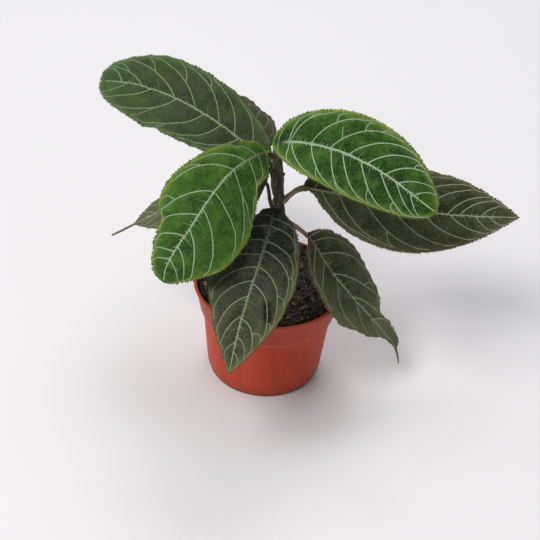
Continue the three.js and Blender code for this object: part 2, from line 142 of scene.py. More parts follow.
LEAVES = {
    "leaf_upper_left": PLAIN_LEAF | dict(
        finish="grey_green", node=(174, 158), petiole=(1.7, 1.4), join=0.06,
        base=(-5.4, 2.4, 181.4), azimuth=157.6, rise=30.4, droop=46, bend=1.53,
        hook_swing=8.4, roll=-24.3, twist=-7, fold=10, curl=10,
        length=150, half_width=31.5, inner=0.66, outer=0.51, lean=-0.01,
        wave=(0.9, 3.2, 0.3), cleft=3.6,
        notches=((-1, 0.44, 1.8, 0.035), (1, 0.575, 1.8, 0.03), (1, 0.65, -0.8, 0.03)),
        left=((0.1, 0.27), (0.2, 0.38), (0.31, 0.46), (0.41, 0.62), (0.57, 0.8), (0.72, 0.93),
              (0.855, 0.97)),
        right=((0.12, 0.26), (0.228, 0.42), (0.322, 0.57), (0.461, 0.74), (0.578, 0.87), (0.761, 0.95),
               (0.878, 0.96)),
        lie=((0.15, 0.77), (0.43, 0.8)), flush=(0.35, 6),
        fresh=((0.2, 0.2, 0.3, 0.45, 0.75), (0.2, 0.15, 0.2, 0.35, 0.65)),
        pale=(0.7, 0.9, 1, 1, 1),
        forks=((1, 0.63, 17, 0.7, 29), (1, 0.533, 25, 0.54, 30.5), (-1, 0.467, 20, 0.46, 26),
               (-1, 0.567, 15, 0.61, 29.5), (-1, 0.733, 16, 0.755, 22), (-1, 0.85, 12, 0.9, 20))),
    "leaf_front_left": PLAIN_LEAF | dict(
        finish="bright_green", node=(190.5, -140), petiole=(1.7, 1.4), join=0.02,
        base=(-6.9, -5.8, 196.4), azimuth=-121.3, rise=4.4, droop=46, bend=0.85, swing=-6.5,
        hook_start=0.74, hook_drop=63, hook_swing=-10.5, roll=-57, twist=42, fold=2.2, curl=12.2,
        length=141, half_width=33.5, inner=0.82, outer=0.64, lean_tip=0.38,
        wander=(-1.8, -2.8, 1), wave=(1.3, 3.4, 0.2),
        notches=((-1, 0.01, 5, 0.03), (-1, 0.06, -2, 0.03), (-1, 0.178, 3.4, 0.02), (-1, 0.55, -2.5, 0.1),
                 (-1, 0.715, 2.5, 0.02), (-1, 0.77, 5.8, 0.065), (-1, 0.87, 2.5, 0.05), (1, 0.01, 6, 0.03),
                 (1, 0.072, -6, 0.03), (1, 0.21, 6.2, 0.06), (1, 0.4, -2.4, 0.2)),
        left=((0.083, 0.14), (0.155, 0.27), (0.275, 0.5), (0.44, 0.59), (0.553, 0.82), (0.685, 0.92),
              (0.79, 0.95), (0.87, 0.97)),
        right=((0.095, 0.165), (0.18, 0.35), (0.27, 0.5), (0.44, 0.68), (0.597, 0.715), (0.725, 0.79),
               (0.82, 0.85), (0.865, 0.9)),
        lie=((0.28, 0.84), (0.43, 0.79)), flush=(0.8, 26),
        fresh=((0.35, 0.4, 0.45, 0.4, 0.35), (0.4, 0.55, 0.5, 0.45, 0.45)),
        pale=(0.8, 0.9, 1, 1, 1),
        forks=((1, 0.35, 17, 0.325, 25), (-1, 0.39, 19, 0.413, 28), (-1, 0.59, 23, 0.597, 29))),
    "leaf_upper_right": PLAIN_LEAF | dict(
        finish="bright_green", node=(190, -50), petiole=(1.7, 1.4), join=0.06,
        base=(-4.5, 1, 199.8), azimuth=-35, rise=28.5, droop=54, bend=0.85, swing=-3,
        hook_drop=-5, hook_swing=12, roll=46, twist=10, fold=16.5, curl=7,
        length=145, half_width=28.5, inner=0.62, outer=0.6, lean=0.03,
        wave=(0.7, 2.6, 0.6),
        left=((0.03, 0.09), (0.098, 0.165), (0.105, 0.275), (0.235, 0.47), (0.355, 0.62), (0.465, 0.72),
              (0.577, 0.79), (0.687, 0.85), (0.767, 0.92), (0.862, 0.95)),
        right=((0.03, 0.08), (0.105, 0.14), (0.115, 0.29), (0.24, 0.43), (0.365, 0.52), (0.431, 0.64),
               (0.54, 0.76), (0.66, 0.88), (0.755, 0.93), (0.845, 0.95)),
        lie=((0.44, 0.9), (0.48, 0.84)), flush=(0.7, 5),
        # The right half's low tones towards the middle paint shade.
        fresh=((0.3, 0.35, 0.28, 0.15, 0.45), (0.35, 0.3, 0.05, -0.05, 0.2)),
        pale=(1, 1, 1, 1, 1),
        forks=((1, 0.348, 19.2, 0.338, 26), (1, 0.397, 9.6, 0.392, 17), (1, 0.495, 21.3, 0.49, 26.5),
               (1, 0.583, 26, 0.58, 28), (1, 0.733, 22, 0.738, 24.5), (1, 0.785, 16.4, 0.785, 19.5),
               (1, 0.21, 16.4, 0.21, 20), (-1, 0.338, 17.3, 0.343, 21.5), (-1, 0.48, 20.7, 0.495, 26),
               (-1, 0.652, 16.7, 0.672, 22), (-1, 0.797, 15.6, 0.805, 18))),
    "leaf_right": PLAIN_LEAF | dict(
        finish="olive", node=(153, 5), petiole=(2.8, 3), join=0.03, arch=7, foot=(-2.8, 0.15),
        base=(20.5, 3.5, 167), azimuth=8, rise=-17, droop=-16, bend=1.2, swing=0.5,
        hook_start=0.75, hook_drop=-2, hook_swing=-10, roll=28, twist=22, fold=12, curl=22,
        length=170, half_width=36.6, inner=0.76, outer=0.97, drip=0.003, lean=0.03,
        wander=(-1.5, 0.6, 1), wave=(0.8, 3.1, 0.5),
        notches=((-1, 0.045, 3, 0.025),),
        left=((0.05, 0.2), (0.13, 0.32), (0.22, 0.43), (0.31, 0.54), (0.4, 0.64), (0.47, 0.74), (0.56, 0.8),
              (0.672, 0.86), (0.73, 0.89), (0.828, 0.93)),
        right=((0.083, 0.28), (0.162, 0.36), (0.28, 0.53), (0.407, 0.66), (0.55, 0.77), (0.686, 0.85),
               (0.804, 0.88), (0.87, 0.93)),
        lie=((0.35, 1), (0.32, 0.86)), flush=(0.6, 12),
        fresh=((0, 0, 0.15, 0.2, 0.4), (0.25, 0.3, 0.35, 0.4, 0.5)),
        pale=(0.6, 0.85, 1, 1, 1),
        forks=((-1, 0.382, 25, 0.397, 33), (-1, 0.534, 25, 0.554, 31), (-1, 0.66, 21, 0.667, 27),
               (-1, 0.75, 14, 0.755, 19))),
    "leaf_front": PLAIN_LEAF | dict(
        finish="dark_green", node=(145, -98), petiole=(1.9, 1.6), join=0.05,
        base=(0.5, -12.5, 153), azimuth=-101.5, rise=-10, droop=23.5, bend=1.2, swing=4,
        hook_drop=3, hook_swing=-2, roll=-4.5, twist=-20.5, fold=10, curl=12,
        length=148, half_width=31.6, inner=0.72, outer=0.97, drip=0.005, lean=0.02,
        wander=(1.4, 0.9, 1), wave=(1, 3.3, 0.4),
        notches=((1, 0.01, -2, 0.02), (1, 0.33, 2, 0.2), (1, 0.56, 1.2, 0.035), (-1, 0.09, 5, 0.045)),
        left=((0.068, 0.17), (0.126, 0.27), (0.23, 0.4), (0.295, 0.52), (0.4, 0.67), (0.507, 0.76),
              (0.71, 0.86), (0.81, 0.91), (0.89, 0.95)),
        right=((0.05, 0.2), (0.124, 0.3), (0.225, 0.4), (0.32, 0.5), (0.403, 0.61), (0.49, 0.7),
               (0.583, 0.8), (0.698, 0.87), (0.84, 0.92)),
        lie=((0.2, 0.98), (0.35, 0.85)), creases=((0.59, 10.5, 0.71, 15.5, 3),), flush=(0.95, 58),
        # The low tones at the base paint the shadow of the leaves above.
        fresh=((-0.35, 0, 0.6, 0.8, 0.95), (-0.35, 0, 0.6, 0.75, 0.95)),
        pale=(0.45, 0.7, 0.9, 1, 1),
        forks=((1, 0.54, 18.6, 0.532, 26), (1, 0.42, 22.7, 0.408, 27), (1, 0.703, 16.7, 0.69, 22),
               (1, 0.765, 11.7, 0.76, 16.8), (-1, 0.608, 21.6, 0.6, 26), (-1, 0.72, 18, 0.715, 21.5),
               (-1, 0.868, 8.6, 0.86, 10.5))),
    "leaf_lower_right": PLAIN_LEAF | dict(
        finish="olive", node=(137, -12), petiole=(2.2, 2), join=0.04, foot=(3.2, 0.24),
        base=(25.2, -7.3, 129), azimuth=-7, rise=-50, droop=0, bend=1.2, swing=6.6,
        hook_start=0.783, hook_drop=37, hook_swing=-16, roll=15, twist=-6, fold=18, curl=15,
        length=135, half_width=37, inner=0.69, outer=1.1, drip=0.1, lean=-0.03,
        wander=(-2.9, -1.3, 0.95), wave=(1.1, 3.6, 0.7),
        notches=((1, 0.07, 2, 0.03), (1, 0.145, 2.6, 0.045), (1, 0.44, -2.2, 0.06), (1, 0.565, 3, 0.05),
                 (1, 0.675, 10.5, 0.065), (1, 0.795, -2, 0.03), (1, 0.87, -4.5, 0.035),
                 (-1, 0.285, -1.8, 0.05), (-1, 0.46, -2.4, 0.06), (-1, 0.745, 5, 0.09),
                 (-1, 0.87, 1.5, 0.04)),
        left=((0.025, 0.12), (0.06, 0.3), (0.145, 0.45), (0.278, 0.6), (0.455, 0.68), (0.66, 0.76)),
        right=((0.03, 0.12), (0.095, 0.2), (0.185, 0.28), (0.315, 0.5), (0.505, 0.62), (0.65, 0.73),
               (0.76, 0.81)),
        lie=((0.37, 0.85), (0.1, 0.8)), flush=(1, 24),
        # The tones that rise towards the tip paint sheen as well as a greyer tip.
        fresh=((0.15, 0.25, 0.5, 1.1, 1.5), (0.15, 0.25, 0.6, 1.2, 1.5)),
        pale=(0.8, 0.95, 1, 1, 1),
        forks=((1, 0.49, 19, 0.514, 27.5),)),
    "leaf_left_behind": PLAIN_LEAF | dict(
        finish="olive", node=(143, 150), petiole=(1.7, 1.4), join=0.03,
        base=(-7, 6, 165.5), azimuth=160.3, rise=-22, droop=24.3, bend=1, swing=1.5,
        hook_start=0.75, hook_drop=-10, hook_swing=4, roll=-25, twist=-2, fold=8, curl=14,
        length=152.4, half_width=31, inner=0.6, outer=0.97, drip=0.16,
        wave=(0.9, 3, 0.1),
        notches=((1, 0.02, -7, 0.06), (-1, 0.02, -5, 0.06)),
        left=((0.06, 0.2), (0.14, 0.32), (0.24, 0.43), (0.34, 0.53), (0.44, 0.61), (0.54, 0.69),
              (0.64, 0.76), (0.72, 0.8)),
        right=((0.04, 0.18), (0.12, 0.29), (0.21, 0.4), (0.31, 0.5), (0.41, 0.6), (0.51, 0.67), (0.6, 0.73),
               (0.69, 0.78)),
        lie=((0.3, 0.85), (0.35, 0.85)), flush=(0.6, 10),
        # The tones that rise towards the tip paint light on the thin tip.
        fresh=((0, 0.3, 0.7, 1.3, 1.6), (0, 0.3, 0.7, 1.3, 1.6)),
        pale=(0.7, 0.8, 0.9, 0.9, 0.9)),
    "leaf_back": PLAIN_LEAF | dict(
        finish="brown", node=(171, 112), petiole=(1.8, 1.5), join=0.04,
        base=(-10, 21, 183.5), azimuth=122, rise=11.5, droop=38, bend=1.3, swing=0.5,
        roll=4, twist=1.5, fold=7.5, curl=15,
        length=138, half_width=31, inner=0.58, outer=0.62,
        wave=(1, 3.1, 0.8),
        left=((0.07, 0.2), (0.16, 0.33), (0.27, 0.46), (0.38, 0.58), (0.49, 0.7), (0.6, 0.8), (0.71, 0.88),
              (0.82, 0.94)),
        right=((0.05, 0.19), (0.13, 0.3), (0.24, 0.43), (0.35, 0.55), (0.46, 0.67), (0.57, 0.78),
               (0.68, 0.87), (0.79, 0.93)),
        lie=((0.3, 0.85), (0.4, 0.85)), flush=(0.4, 10),
        fresh=((0.1, 0.2, 0.3, 0.4, 0.5), (0, 0.2, 0.3, 0.4, 0.5)),
        pale=(0.7, 0.8, 0.9, 0.9, 0.9)),
}
MIDRIB_STEPS = 240
TONE_PLACES = (0, 0.25, 0.5, 0.75, 1)

# Blade: waves of the margin, the ruffle that rides on a blade's wave, and the least half widths of the tip
CRENATE_SIZE = 0.3
CRENATE_PITCH = 3.6
RUFFLE_SIZE = 0.45
RUFFLE_SHARE = 4.3
LONG_DRIP = 0.05
DRIP_TIP_WIDTH = 2
LEAST_WIDTH = 0.45

# Veins, as shares of the blade's half width: where a side vein bends forward, where it and its forks run
# along the margin, how far out anything may lie, and how far out a fork still ends inside the blade
VEIN_OUT = 0.88
FORK_OUT = 0.93
VEIN_LIMIT = 0.955
SHORT_FORK = 0.75
FORK_TAIL = 0.045
SPUR_LIMIT = 0.8

# Points on a side vein up to where it turns along the margin, the places between which side veins are of full
# size, the share that the others have, and the half widths in millimetres over which the quilting sets in
VEIN_STEPS = 26
FULL_VEINS = (0.08, 0.75)
SMALL_VEIN = 0.72
QUILTED = (1, 5)

# Distances in millimetres over which the marks near and margin fall off
NEAR_REACH = 6
MARGIN_REACH = 10
MARGIN_STEPS = 1600
TOOTH_RADIUS = 0.85
TOOTH_THICKNESS = 0.4
TOOTH_ROOT = 0.35
BLOCK = 2000


# The light and dark tones are mixed by each leaf's tone table and by noise, not by the relief, and those
# tables paint light, shade and sheen as well as the leaf's own tone.
LEAF_PARTS = {"light": "Raised parts of the blade", "dark": "Hollows of the blade",
              "vein": "Veins and their rays", "margin": "Line along the margin",
              "patch": "Patches on the blade", "flush": "Petiole, and the midrib near it"}
# Colours of each finish, in the order of LEAF_PARTS
LEAF_FINISHES = {
    "bright_green": ((0.06, 0.163, 0.012), (0.01, 0.038, 0.0045), (0.37, 0.47, 0.31),
                     (0.26, 0.33, 0.07), (0.1, 0.2, 0.018), (0.085, 0.06, 0.033)),
    "grey_green": ((0.065, 0.117, 0.036), (0.027, 0.042, 0.021), (0.24, 0.32, 0.17),
                   (0.12, 0.19, 0.08), (0.06, 0.06, 0.052), (0.1, 0.1, 0.04)),
    "dark_green": ((0.074, 0.079, 0.043), (0.006, 0.0065, 0.0042), (0.28, 0.33, 0.22),
                   (0.2, 0.23, 0.07), (0.058, 0.054, 0.052), (0.033, 0.034, 0.022)),
    "olive": ((0.11, 0.121, 0.067), (0.02, 0.025, 0.0092), (0.34, 0.38, 0.26),
              (0.15, 0.12, 0.04), (0.055, 0.07, 0.009), (0.21, 0.125, 0.085)),
    "brown": ((0.08, 0.083, 0.048), (0.042, 0.044, 0.026), (0.2, 0.21, 0.14),
              (0.11, 0.08, 0.04), (0.07, 0.06, 0.03), (0.1, 0.07, 0.035)),
}

Tones = namedtuple("Tones", LEAF_PARTS)

# A rib's path on the flat blade, its half widths and groove depths along it, how wide the groove spreads,
# and the outline of its section
Rib = namedtuple("Rib", "flat widths grooves spread profile")


# Settings

def length_setting(name, description, default, **extra):
    return FloatProperty(name=name, description=description, default=default, min=0, unit="LENGTH",
                         subtype="DISTANCE", precision=4, **extra)


def colour_setting(name, description, default):
    return FloatVectorProperty(name=name, description=description, default=default, subtype="COLOR",
                               size=3, min=0, max=1)


class PotSettings(bpy.types.PropertyGroup):
    rim_radius: length_setting("Rim radius", "Outer radius of the lip", POT_HIGH.x)
    height: length_setting("Height", "Height of the pot", POT_HIGH.z)
    base_radius: length_setting("Base radius", "Outer radius of the base", 0.043)
    body_low: length_setting("Body, low", "Radius that the body's taper starts from", 0.0441)
    body_high: length_setting("Body, high", "Radius of the body under the collar", 0.05)
    collar_height: length_setting("Collar height", "Height of the band under the lip", 0.023)
    collar_radius: length_setting("Collar", "Radius of the collar's foot", 0.0522)
    wall: length_setting("Wall", "Thickness of the wall", 0.0015)
    sides: IntProperty(name="Sides", description="Faces round the pot", default=160, min=24)
    body_colour: colour_setting("Body", "Colour of the plastic", (0.5, 0.07, 0.032))
    lip_colour: colour_setting("Lip", "Colour of the worn lip", (0.45, 0.085, 0.045))


class SoilSettings(bpy.types.PropertyGroup):
    rings: IntProperty(name="Rings", description="Rings of the soil's top", default=46, min=8)
    crumbs: IntProperty(name="Crumbs", description="Number of soil crumbs", default=2600, min=0)
    bark_bits: IntProperty(name="Bark bits", description="Number of bark bits", default=170, min=0)
    grains: IntProperty(name="Grains", description="Number of pale grains", default=150, min=0)
    fibres: IntProperty(name="Fibres", description="Number of loose fibres", default=46, min=0)
    dark: colour_setting("Dark", "Colour of the wet soil", (0.009, 0.005, 0.0036))
    light: colour_setting("Light", "Colour of the drier crumbs", (0.12, 0.07, 0.045))


class StemSettings(bpy.types.PropertyGroup):
    sides: IntProperty(name="Sides", description="Faces round the stem", default=80, min=12)
    rings: IntProperty(name="Rings", description="Rings along the stem", default=190, min=20)
    hairs: IntProperty(name="Hairs", description="Number of stem hairs", default=1500, min=0)
    hair_length: length_setting("Hair length", "Length of a stem hair", 0.0011)
    dark: colour_setting("Bark", "Dark bark", (0.011, 0.012, 0.007))
    light: colour_setting("Streaks", "Pale streaks in the bark", (0.13, 0.13, 0.08))
    bud: colour_setting("Bud", "Young bud", (0.13, 0.065, 0.038))


class LeafSettings(bpy.types.PropertyGroup):
    thickness: length_setting("Thickness", "Thickness of a blade", 0.0005)
    steps: IntProperty(name="Steps", description="Faces along a blade", default=200, min=40)
    rows: IntProperty(name="Rows", description="Faces across a blade", default=64, min=10)
    midrib_width: length_setting("Midrib", "Width of the midrib at its base", 0.0023)
    vein_width: length_setting("Side veins", "Width of a side vein at the midrib", 0.0011)
    quilting: length_setting("Quilting", "Depth of the grooves along the side veins", 0.0014)
    tooth_pitch: length_setting("Tooth pitch", "Distance of the margin's teeth", 0.0019)
    tooth_length: length_setting("Tooth length", "Length of a margin tooth", 0.0019)


class LeafColours(bpy.types.PropertyGroup):
    """A colour for each part of each finish, such as olive_vein."""

    __annotations__ = {
        f"{finish}_{part}": colour_setting(f"{finish} {part}".replace("_", " ").capitalize(), use, colour)
        for finish, tones in LEAF_FINISHES.items() for (part, use), colour in zip(LEAF_PARTS.items(), tones)}


class StageSettings(bpy.types.PropertyGroup):
    floor_size: length_setting("Floor", "Side of the floor", 8.0)
    floor_colour: colour_setting("Floor colour", "Colour of the floor", (0.765, 0.757, 0.77))
    camera_distance: length_setting("Distance", "Camera to the middle of the plant", 1.1)
    camera_height: FloatProperty(name="Elevation", description="Camera's angle above level",
                                 default=math.radians(37.4), subtype="ANGLE", unit="ROTATION")
    camera_roll: FloatProperty(name="Roll", description="Camera's roll", default=math.radians(4.2),
                               subtype="ANGLE", unit="ROTATION")
    camera_aim: length_setting("Aim", "Height that the camera aims at", 0.0909)
    lens: FloatProperty(name="Lens", description="Focal length in millimetres", default=96, min=10)


# Shader maths

class Number:
    """A number that varies over a surface: a socket whose operators add Math nodes."""

    def __init__(self, paint, socket):
        self.paint = paint
        self.socket = socket

    def math(self, operation, first, second):
        return self.paint.number("Math", {"operation": operation}, {0: first, 1: second})

    def __add__(self, other):
        return self.math("ADD", self, other)

    def __sub__(self, other):
        return self.math("SUBTRACT", self, other)

    def __rsub__(self, other):
        return self.math("SUBTRACT", other, self)

    def __mul__(self, other):
        return self.math("MULTIPLY", self, other)

    __radd__ = __add__


class Paint:
    """One procedural material: node() adds any node, and the rest are short forms of it."""

    def __init__(self, name):
        self.material = bpy.data.materials.new(name)
        self.material.use_nodes = True
        self.tree = self.material.node_tree
        self.tree.nodes.clear()
        self.place = self.node("TexCoord").outputs["Object"]

    def node(self, kind, settings=None, values=None):
        made = self.tree.nodes.new("ShaderNode" + kind)
        for name, value in (settings or {}).items():
            setattr(made, name, value)
        for name, value in (values or {}).items():
            self.plug(made.inputs[name], value)
        return made

    def plug(self, socket, value):
        if isinstance(value, Number):
            value = value.socket
        if isinstance(value, bpy.types.NodeSocket):
            self.tree.links.new(value, socket)
        elif socket.type == "RGBA" and len(value) == 3:
            socket.default_value = (*value, 1)
        else:
            socket.default_value = value

    def number(self, kind, settings=None, values=None, output=0):
        return Number(self, self.node(kind, settings, values).outputs[output])

    def attribute(self, name):
        return self.number("Attribute", {"attribute_name": name}, output="Fac")

    def height(self):
        return self.number("SeparateXYZ", None, {0: self.place}, output=2)

    def noise(self, scale, detail=3, place=None, roughness=0.55):
        values = {"Vector": place or self.place, "Scale": scale, "Detail": detail, "Roughness": roughness}
        return self.number("TexNoise", None, values)

    def cells(self, feature, scale, place=None):
        values = {"Vector": place or self.place, "Scale": scale}
        return self.number("TexVoronoi", {"feature": feature}, values)

    def stretched(self, scale, place=None):
        values = {"Vector": place or self.place, "Scale": scale}
        return self.node("Mapping", {"vector_type": "POINT"}, values).outputs[0]

    def step(self, value, low, high):
        settings = {"interpolation_type": "SMOOTHSTEP"}
        return self.number("MapRange", settings, {"Value": value, "From Min": low, "From Max": high})

    def mix(self, share, first, second):
        return self.node("Mix", {"data_type": "RGBA"}, {0: share, 6: first, 7: second}).outputs[2]

    def bump(self, height, distance, strength):
        values = {"Height": height, "Distance": distance, "Strength": strength}
        return self.node("Bump", None, values).outputs[0]

    def finish(self, colour, roughness, normal=None, specular=0.5, sheen=0):
        values = {"Base Color": colour, "Roughness": roughness, "Specular IOR Level": specular,
                  "Sheen Weight": sheen}
        if normal is not None:
            values["Normal"] = normal
        shader = self.node("BsdfPrincipled", None, values)
        self.node("OutputMaterial", None, {"Surface": shader.outputs[0]})
        return self.material


def shade(colour, factor):
    return tuple(factor * c for c in colour)


def blend(first, share, second, other, extra=0):
    """A share of one colour and a share of another, with the same extra on each channel."""
    return tuple(share * a + other * b + extra for a, b in zip(first, second))


# Mesh helpers

def start_piece():
    """Leaves edit mode and the last selection behind."""
    if bpy.context.object is not None and bpy.context.object.mode != "OBJECT":
        bpy.ops.object.mode_set(mode="OBJECT")
    bpy.ops.object.select_all(action="DESELECT")


def settle(piece):
    """Puts the piece's place, turn and scale into its mesh."""
    piece.data.transform(piece.matrix_world)
    piece.matrix_world = Matrix.Identity(4)
    return piece


def apply_modifier(piece, kind, **settings):
    bpy.context.view_layer.objects.active = piece
    modifier = piece.modifiers.new(kind.title(), kind)
    for name, value in settings.items():
        setattr(modifier, name, value)
    bpy.ops.object.modifier_apply(modifier=modifier.name)


def join(pieces):
    start_piece()
    for piece in pieces:
        piece.select_set(True)
    bpy.context.view_layer.objects.active = pieces[0]
    bpy.ops.object.join()
    return bpy.context.object


def points_of(mesh):
    points = np.zeros(3 * len(mesh.vertices))
    mesh.vertices.foreach_get("co", points)
    return points.reshape(-1, 3)


def move_points(mesh, points):
    mesh.vertices.foreach_set("co", np.asarray(points, float).ravel())
    mesh.update()


def write_attribute(mesh, name, values):
    values = np.asarray(values, float)
    kind = "FLOAT" if values.ndim == 1 else "FLOAT_VECTOR"
    attribute = mesh.attributes.get(name) or mesh.attributes.new(name, kind, "POINT")
    attribute.data.foreach_set("value" if values.ndim == 1 else "vector", values.ravel())


def mesh_piece(name, points, faces):
    """A new object from points and faces, for shapes that come from a formula."""
    mesh = bpy.data.meshes.new(name)
    mesh.from_pydata([tuple(p) for p in points], [], faces)
    mesh.update()
    piece = bpy.data.objects.new(name, mesh)
    bpy.context.scene.collection.objects.link(piece)
    return piece


def lean_back(piece):
    """Leans a piece of the plant back with the stem."""
    pivot = Matrix.Translation((0, 0, PLANT_PIVOT * MM))
    piece.data.transform(pivot @ Matrix.Rotation(-math.radians(PLANT_LEAN), 4, "X") @ pivot.inverted())
    return piece


def smooth_shading(piece, angle=None):
    start_piece()
    piece.select_set(True)
    bpy.context.view_layer.objects.active = piece
    if angle is None:
        bpy.ops.object.shade_smooth()
    else:
        bpy.ops.object.shade_smooth_by_angle(angle=math.radians(angle))


def dress(piece, name, material, slot, replaces=None):
    piece.name = name
    piece.data.name = name
    piece.data.materials.clear()
    piece.data.materials.append(material)
    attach(piece, "root")
    if replaces:
        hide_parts(replaces)
    return piece


def tube_faces(rings, sides, offset):
    """Faces of a closed tube: walls between the rings and a fan to an end point at each end."""
    faces = []
    for ring in range(rings - 1):
        for side in range(sides):
            a = offset + ring * sides + side
            b = offset + ring * sides + (side + 1) % sides
            faces.append((a, b, b + sides, a + sides))
    first, last = offset + rings * sides, offset + rings * sides + 1
    end = offset + (rings - 1) * sides
    for side in range(sides):
        after = (side + 1) % sides
        faces.append((first, offset + after, offset + side))
        faces.append((last, end + side, end + after))
    return faces


def tube_points(rings):
    """Points of a closed tube whose rings are an array (ring, side, 3)."""
    ends = np.stack([rings[0].mean(axis=0), rings[-1].mean(axis=0)])
    return np.vstack([rings.reshape(-1, 3), ends])


def tube(name, strands):
    """A closed tube from its strands, each a line of points in millimetres along it."""
    rings = np.stack(strands, axis=1)
    return mesh_piece(name, tube_points(rings) * MM, tube_faces(len(rings), len(strands), 0))


def copies(name, template, matrices, tints=None):
    """One object that holds a copy of the template's mesh at each matrix, with each copy's tint if given."""
    shape = points_of(template.data)
    loops = [list(p.vertices) for p in template.data.polygons]
    placed = [shape @ np.array(m.to_3x3()).T + np.array(m.translation) for m in matrices]
    count = len(shape)
    faces = [[v + k * count for v in loop] for k in range(len(matrices)) for loop in loops]
    piece = mesh_piece(name, np.vstack(placed), faces)
    if tints is not None:
        write_attribute(piece.data, "tint", np.repeat(tints, count))
    bpy.data.objects.remove(template)
    return piece


def stood(place, turned, scale):
    """Matrix of a copy: its place in metres, its turn and its scale."""
    return Matrix.Translation(place) @ (turned @ Matrix.Diagonal(scale)).to_4x4()


def aimed(aim):
    """Turn that brings +Z to the aim."""
    return aim.to_track_quat("Z", "Y").to_matrix()


def thorn(sides):
    """Template of a tooth or a hair: a cone of height and radius 1 that stands on the origin."""
    start_piece()
    bpy.ops.mesh.primitive_cone_add(vertices=sides, radius1=1, depth=1, location=(0, 0, 0.5))
    return settle(bpy.context.object)


def turn_up(rows, radius, height):
    """Extrudes the selected disc through (radius, height) rows in edit mode, and gives the last radius."""
    for new_radius, new_height in rows:
        bpy.ops.mesh.extrude_region_move(TRANSFORM_OT_translate={"value": (0, 0, new_height - height)})
        share = new_radius / radius
        bpy.ops.transform.resize(value=(share, share, 1))
        radius, height = new_radius, new_height
    return radius


def close_shell():
    """Turns all faces of the mesh in edit mode outwards and leaves edit mode."""
    bpy.ops.mesh.select_all(action="SELECT")
    bpy.ops.mesh.normals_make_consistent(inside=False)
    bpy.ops.object.mode_set(mode="OBJECT")


def cut(piece, drill):
    """Takes the drill's shape out of the piece, and the drill out of the scene."""
    apply_modifier(piece, "BOOLEAN", object=drill, operation="DIFFERENCE", solver="EXACT")
    bpy.data.objects.remove(drill)


# Leaf maths, in millimetres

def smoothstep(x, low, high):
    t = np.clip((x - low) / (high - low), 0, 1)
    return t * t * (3 - 2 * t)


def blade_frame(leaf, s):
    """Direction, left side and upper side of a blade at places s along its midrib."""
    hook = np.clip((s - leaf["hook_start"]) / (1 - leaf["hook_start"]), 0, 1) ** 1.5
    pitch = np.radians(leaf["rise"] - leaf["droop"] * s ** leaf["bend"] - leaf["hook_drop"] * hook)
    heading = np.radians(leaf["azimuth"] + leaf["swing"] * s + leaf["hook_swing"] * hook)
    turn = np.radians(leaf["roll"] + leaf["twist"] * s)[..., None]
    along = np.stack([np.cos(pitch) * np.cos(heading), np.cos(pitch) * np.sin(heading), np.sin(pitch)], -1)
    level = np.stack([-np.sin(heading), np.cos(heading), np.zeros_like(heading)], -1)
    left = level * np.cos(turn) + np.cross(along, level) * np.sin(turn)
    return along, left, np.cross(along, left)


def midrib_points(leaf):
    """The midrib's line, summed up in even steps from its base."""
    along = blade_frame(leaf, (np.arange(MIDRIB_STEPS) + 0.5) / MIDRIB_STEPS)[0]
    steps = np.cumsum(along * leaf["length"] / MIDRIB_STEPS, axis=0)
    return np.vstack([np.zeros(3), steps]) + np.array(leaf["base"], float)


def midrib_point(points, s):
    place = np.clip(s, 0, 1) * MIDRIB_STEPS
    before = np.minimum(place.astype(int), MIDRIB_STEPS - 1)
    share = (place - before)[..., None]
    return points[before] * (1 - share) + points[before + 1] * share


def midrib_shift(leaf, s):
    """How far the midrib strays to the left at places s."""
    arch, sway, power = leaf["wander"]
    turn = np.pi * np.clip(s / (1 - leaf["drip"]), 0, 1) ** power
    foot, reach = leaf["foot"]
    return arch * np.sin(turn) + sway * np.sin(2 * turn) + foot * np.exp(-(s / reach) ** 2)


def half_width(leaf, s, side):
    """Width of one half of the blade at places s."""
    body = np.clip(s / (1 - leaf["drip"]), 0, 1)
    widest = leaf["inner"] / (leaf["inner"] + leaf["outer"])
    peak = widest ** leaf["inner"] * (1 - widest) ** leaf["outer"]
    lean = 1 + side * (leaf["lean"] + leaf["lean_tip"] * s * s)
    half = leaf["half_width"] * lean * body ** leaf["inner"] * (1 - body) ** leaf["outer"] / peak
    half = half - side * midrib_shift(leaf, s)
    for notch_side, place, depth, width in leaf["notches"]:
        half = half - np.where(side == notch_side, depth * np.exp(-(((s - place) / width) ** 2)), 0)
    tip = DRIP_TIP_WIDTH * (1 - s) ** 0.6 if leaf["drip"] > LONG_DRIP else 0.7
    stalk = 1.1 + (tip - 1.1) * smoothstep(s, 0, 0.3)
    return np.hypot(np.maximum(half, 0), np.maximum(stalk, LEAST_WIDTH))


def blade_point(leaf, midrib, s, y, lift):
    """Points y millimetres to the left of the midrib, over the blade's surface, and lifted off it."""
    along, left, up = blade_frame(leaf, s)
    side = np.sign(y)
    reach = np.abs(y)
    half = half_width(leaf, s, side)
    w = np.clip(reach / half, 0, 1.1)
    tilt = np.radians(leaf["fold"] - leaf["curl"] * reach / leaf["half_width"])
    size, count, phase = leaf["wave"]
    ripple = size * np.sin(2 * np.pi * (count * s + phase + 0.37 * side))
    ruffle = RUFFLE_SIZE * np.sin(2 * np.pi * (RUFFLE_SHARE * count * s + 1.7 * phase + 0.21 * side))
    lifted = w * w * smoothstep(half, 2, 14) * (ripple + ruffle * w * w) + lift
    indent = leaf["cleft"] * smoothstep(s, 0.95, 1) * (1 - w)
    normal = up * np.cos(tilt)[..., None] - left * (side * np.sin(tilt))[..., None]
    across = midrib_shift(leaf, s) + side * reach * np.cos(tilt)
    return (midrib_point(midrib, s) + left * across[..., None] + up * (reach * np.sin(tilt))[..., None]
            + normal * lifted[..., None] - along * indent[..., None])


# Veins, as flat paths (along, left) in millimetres on the spread blade

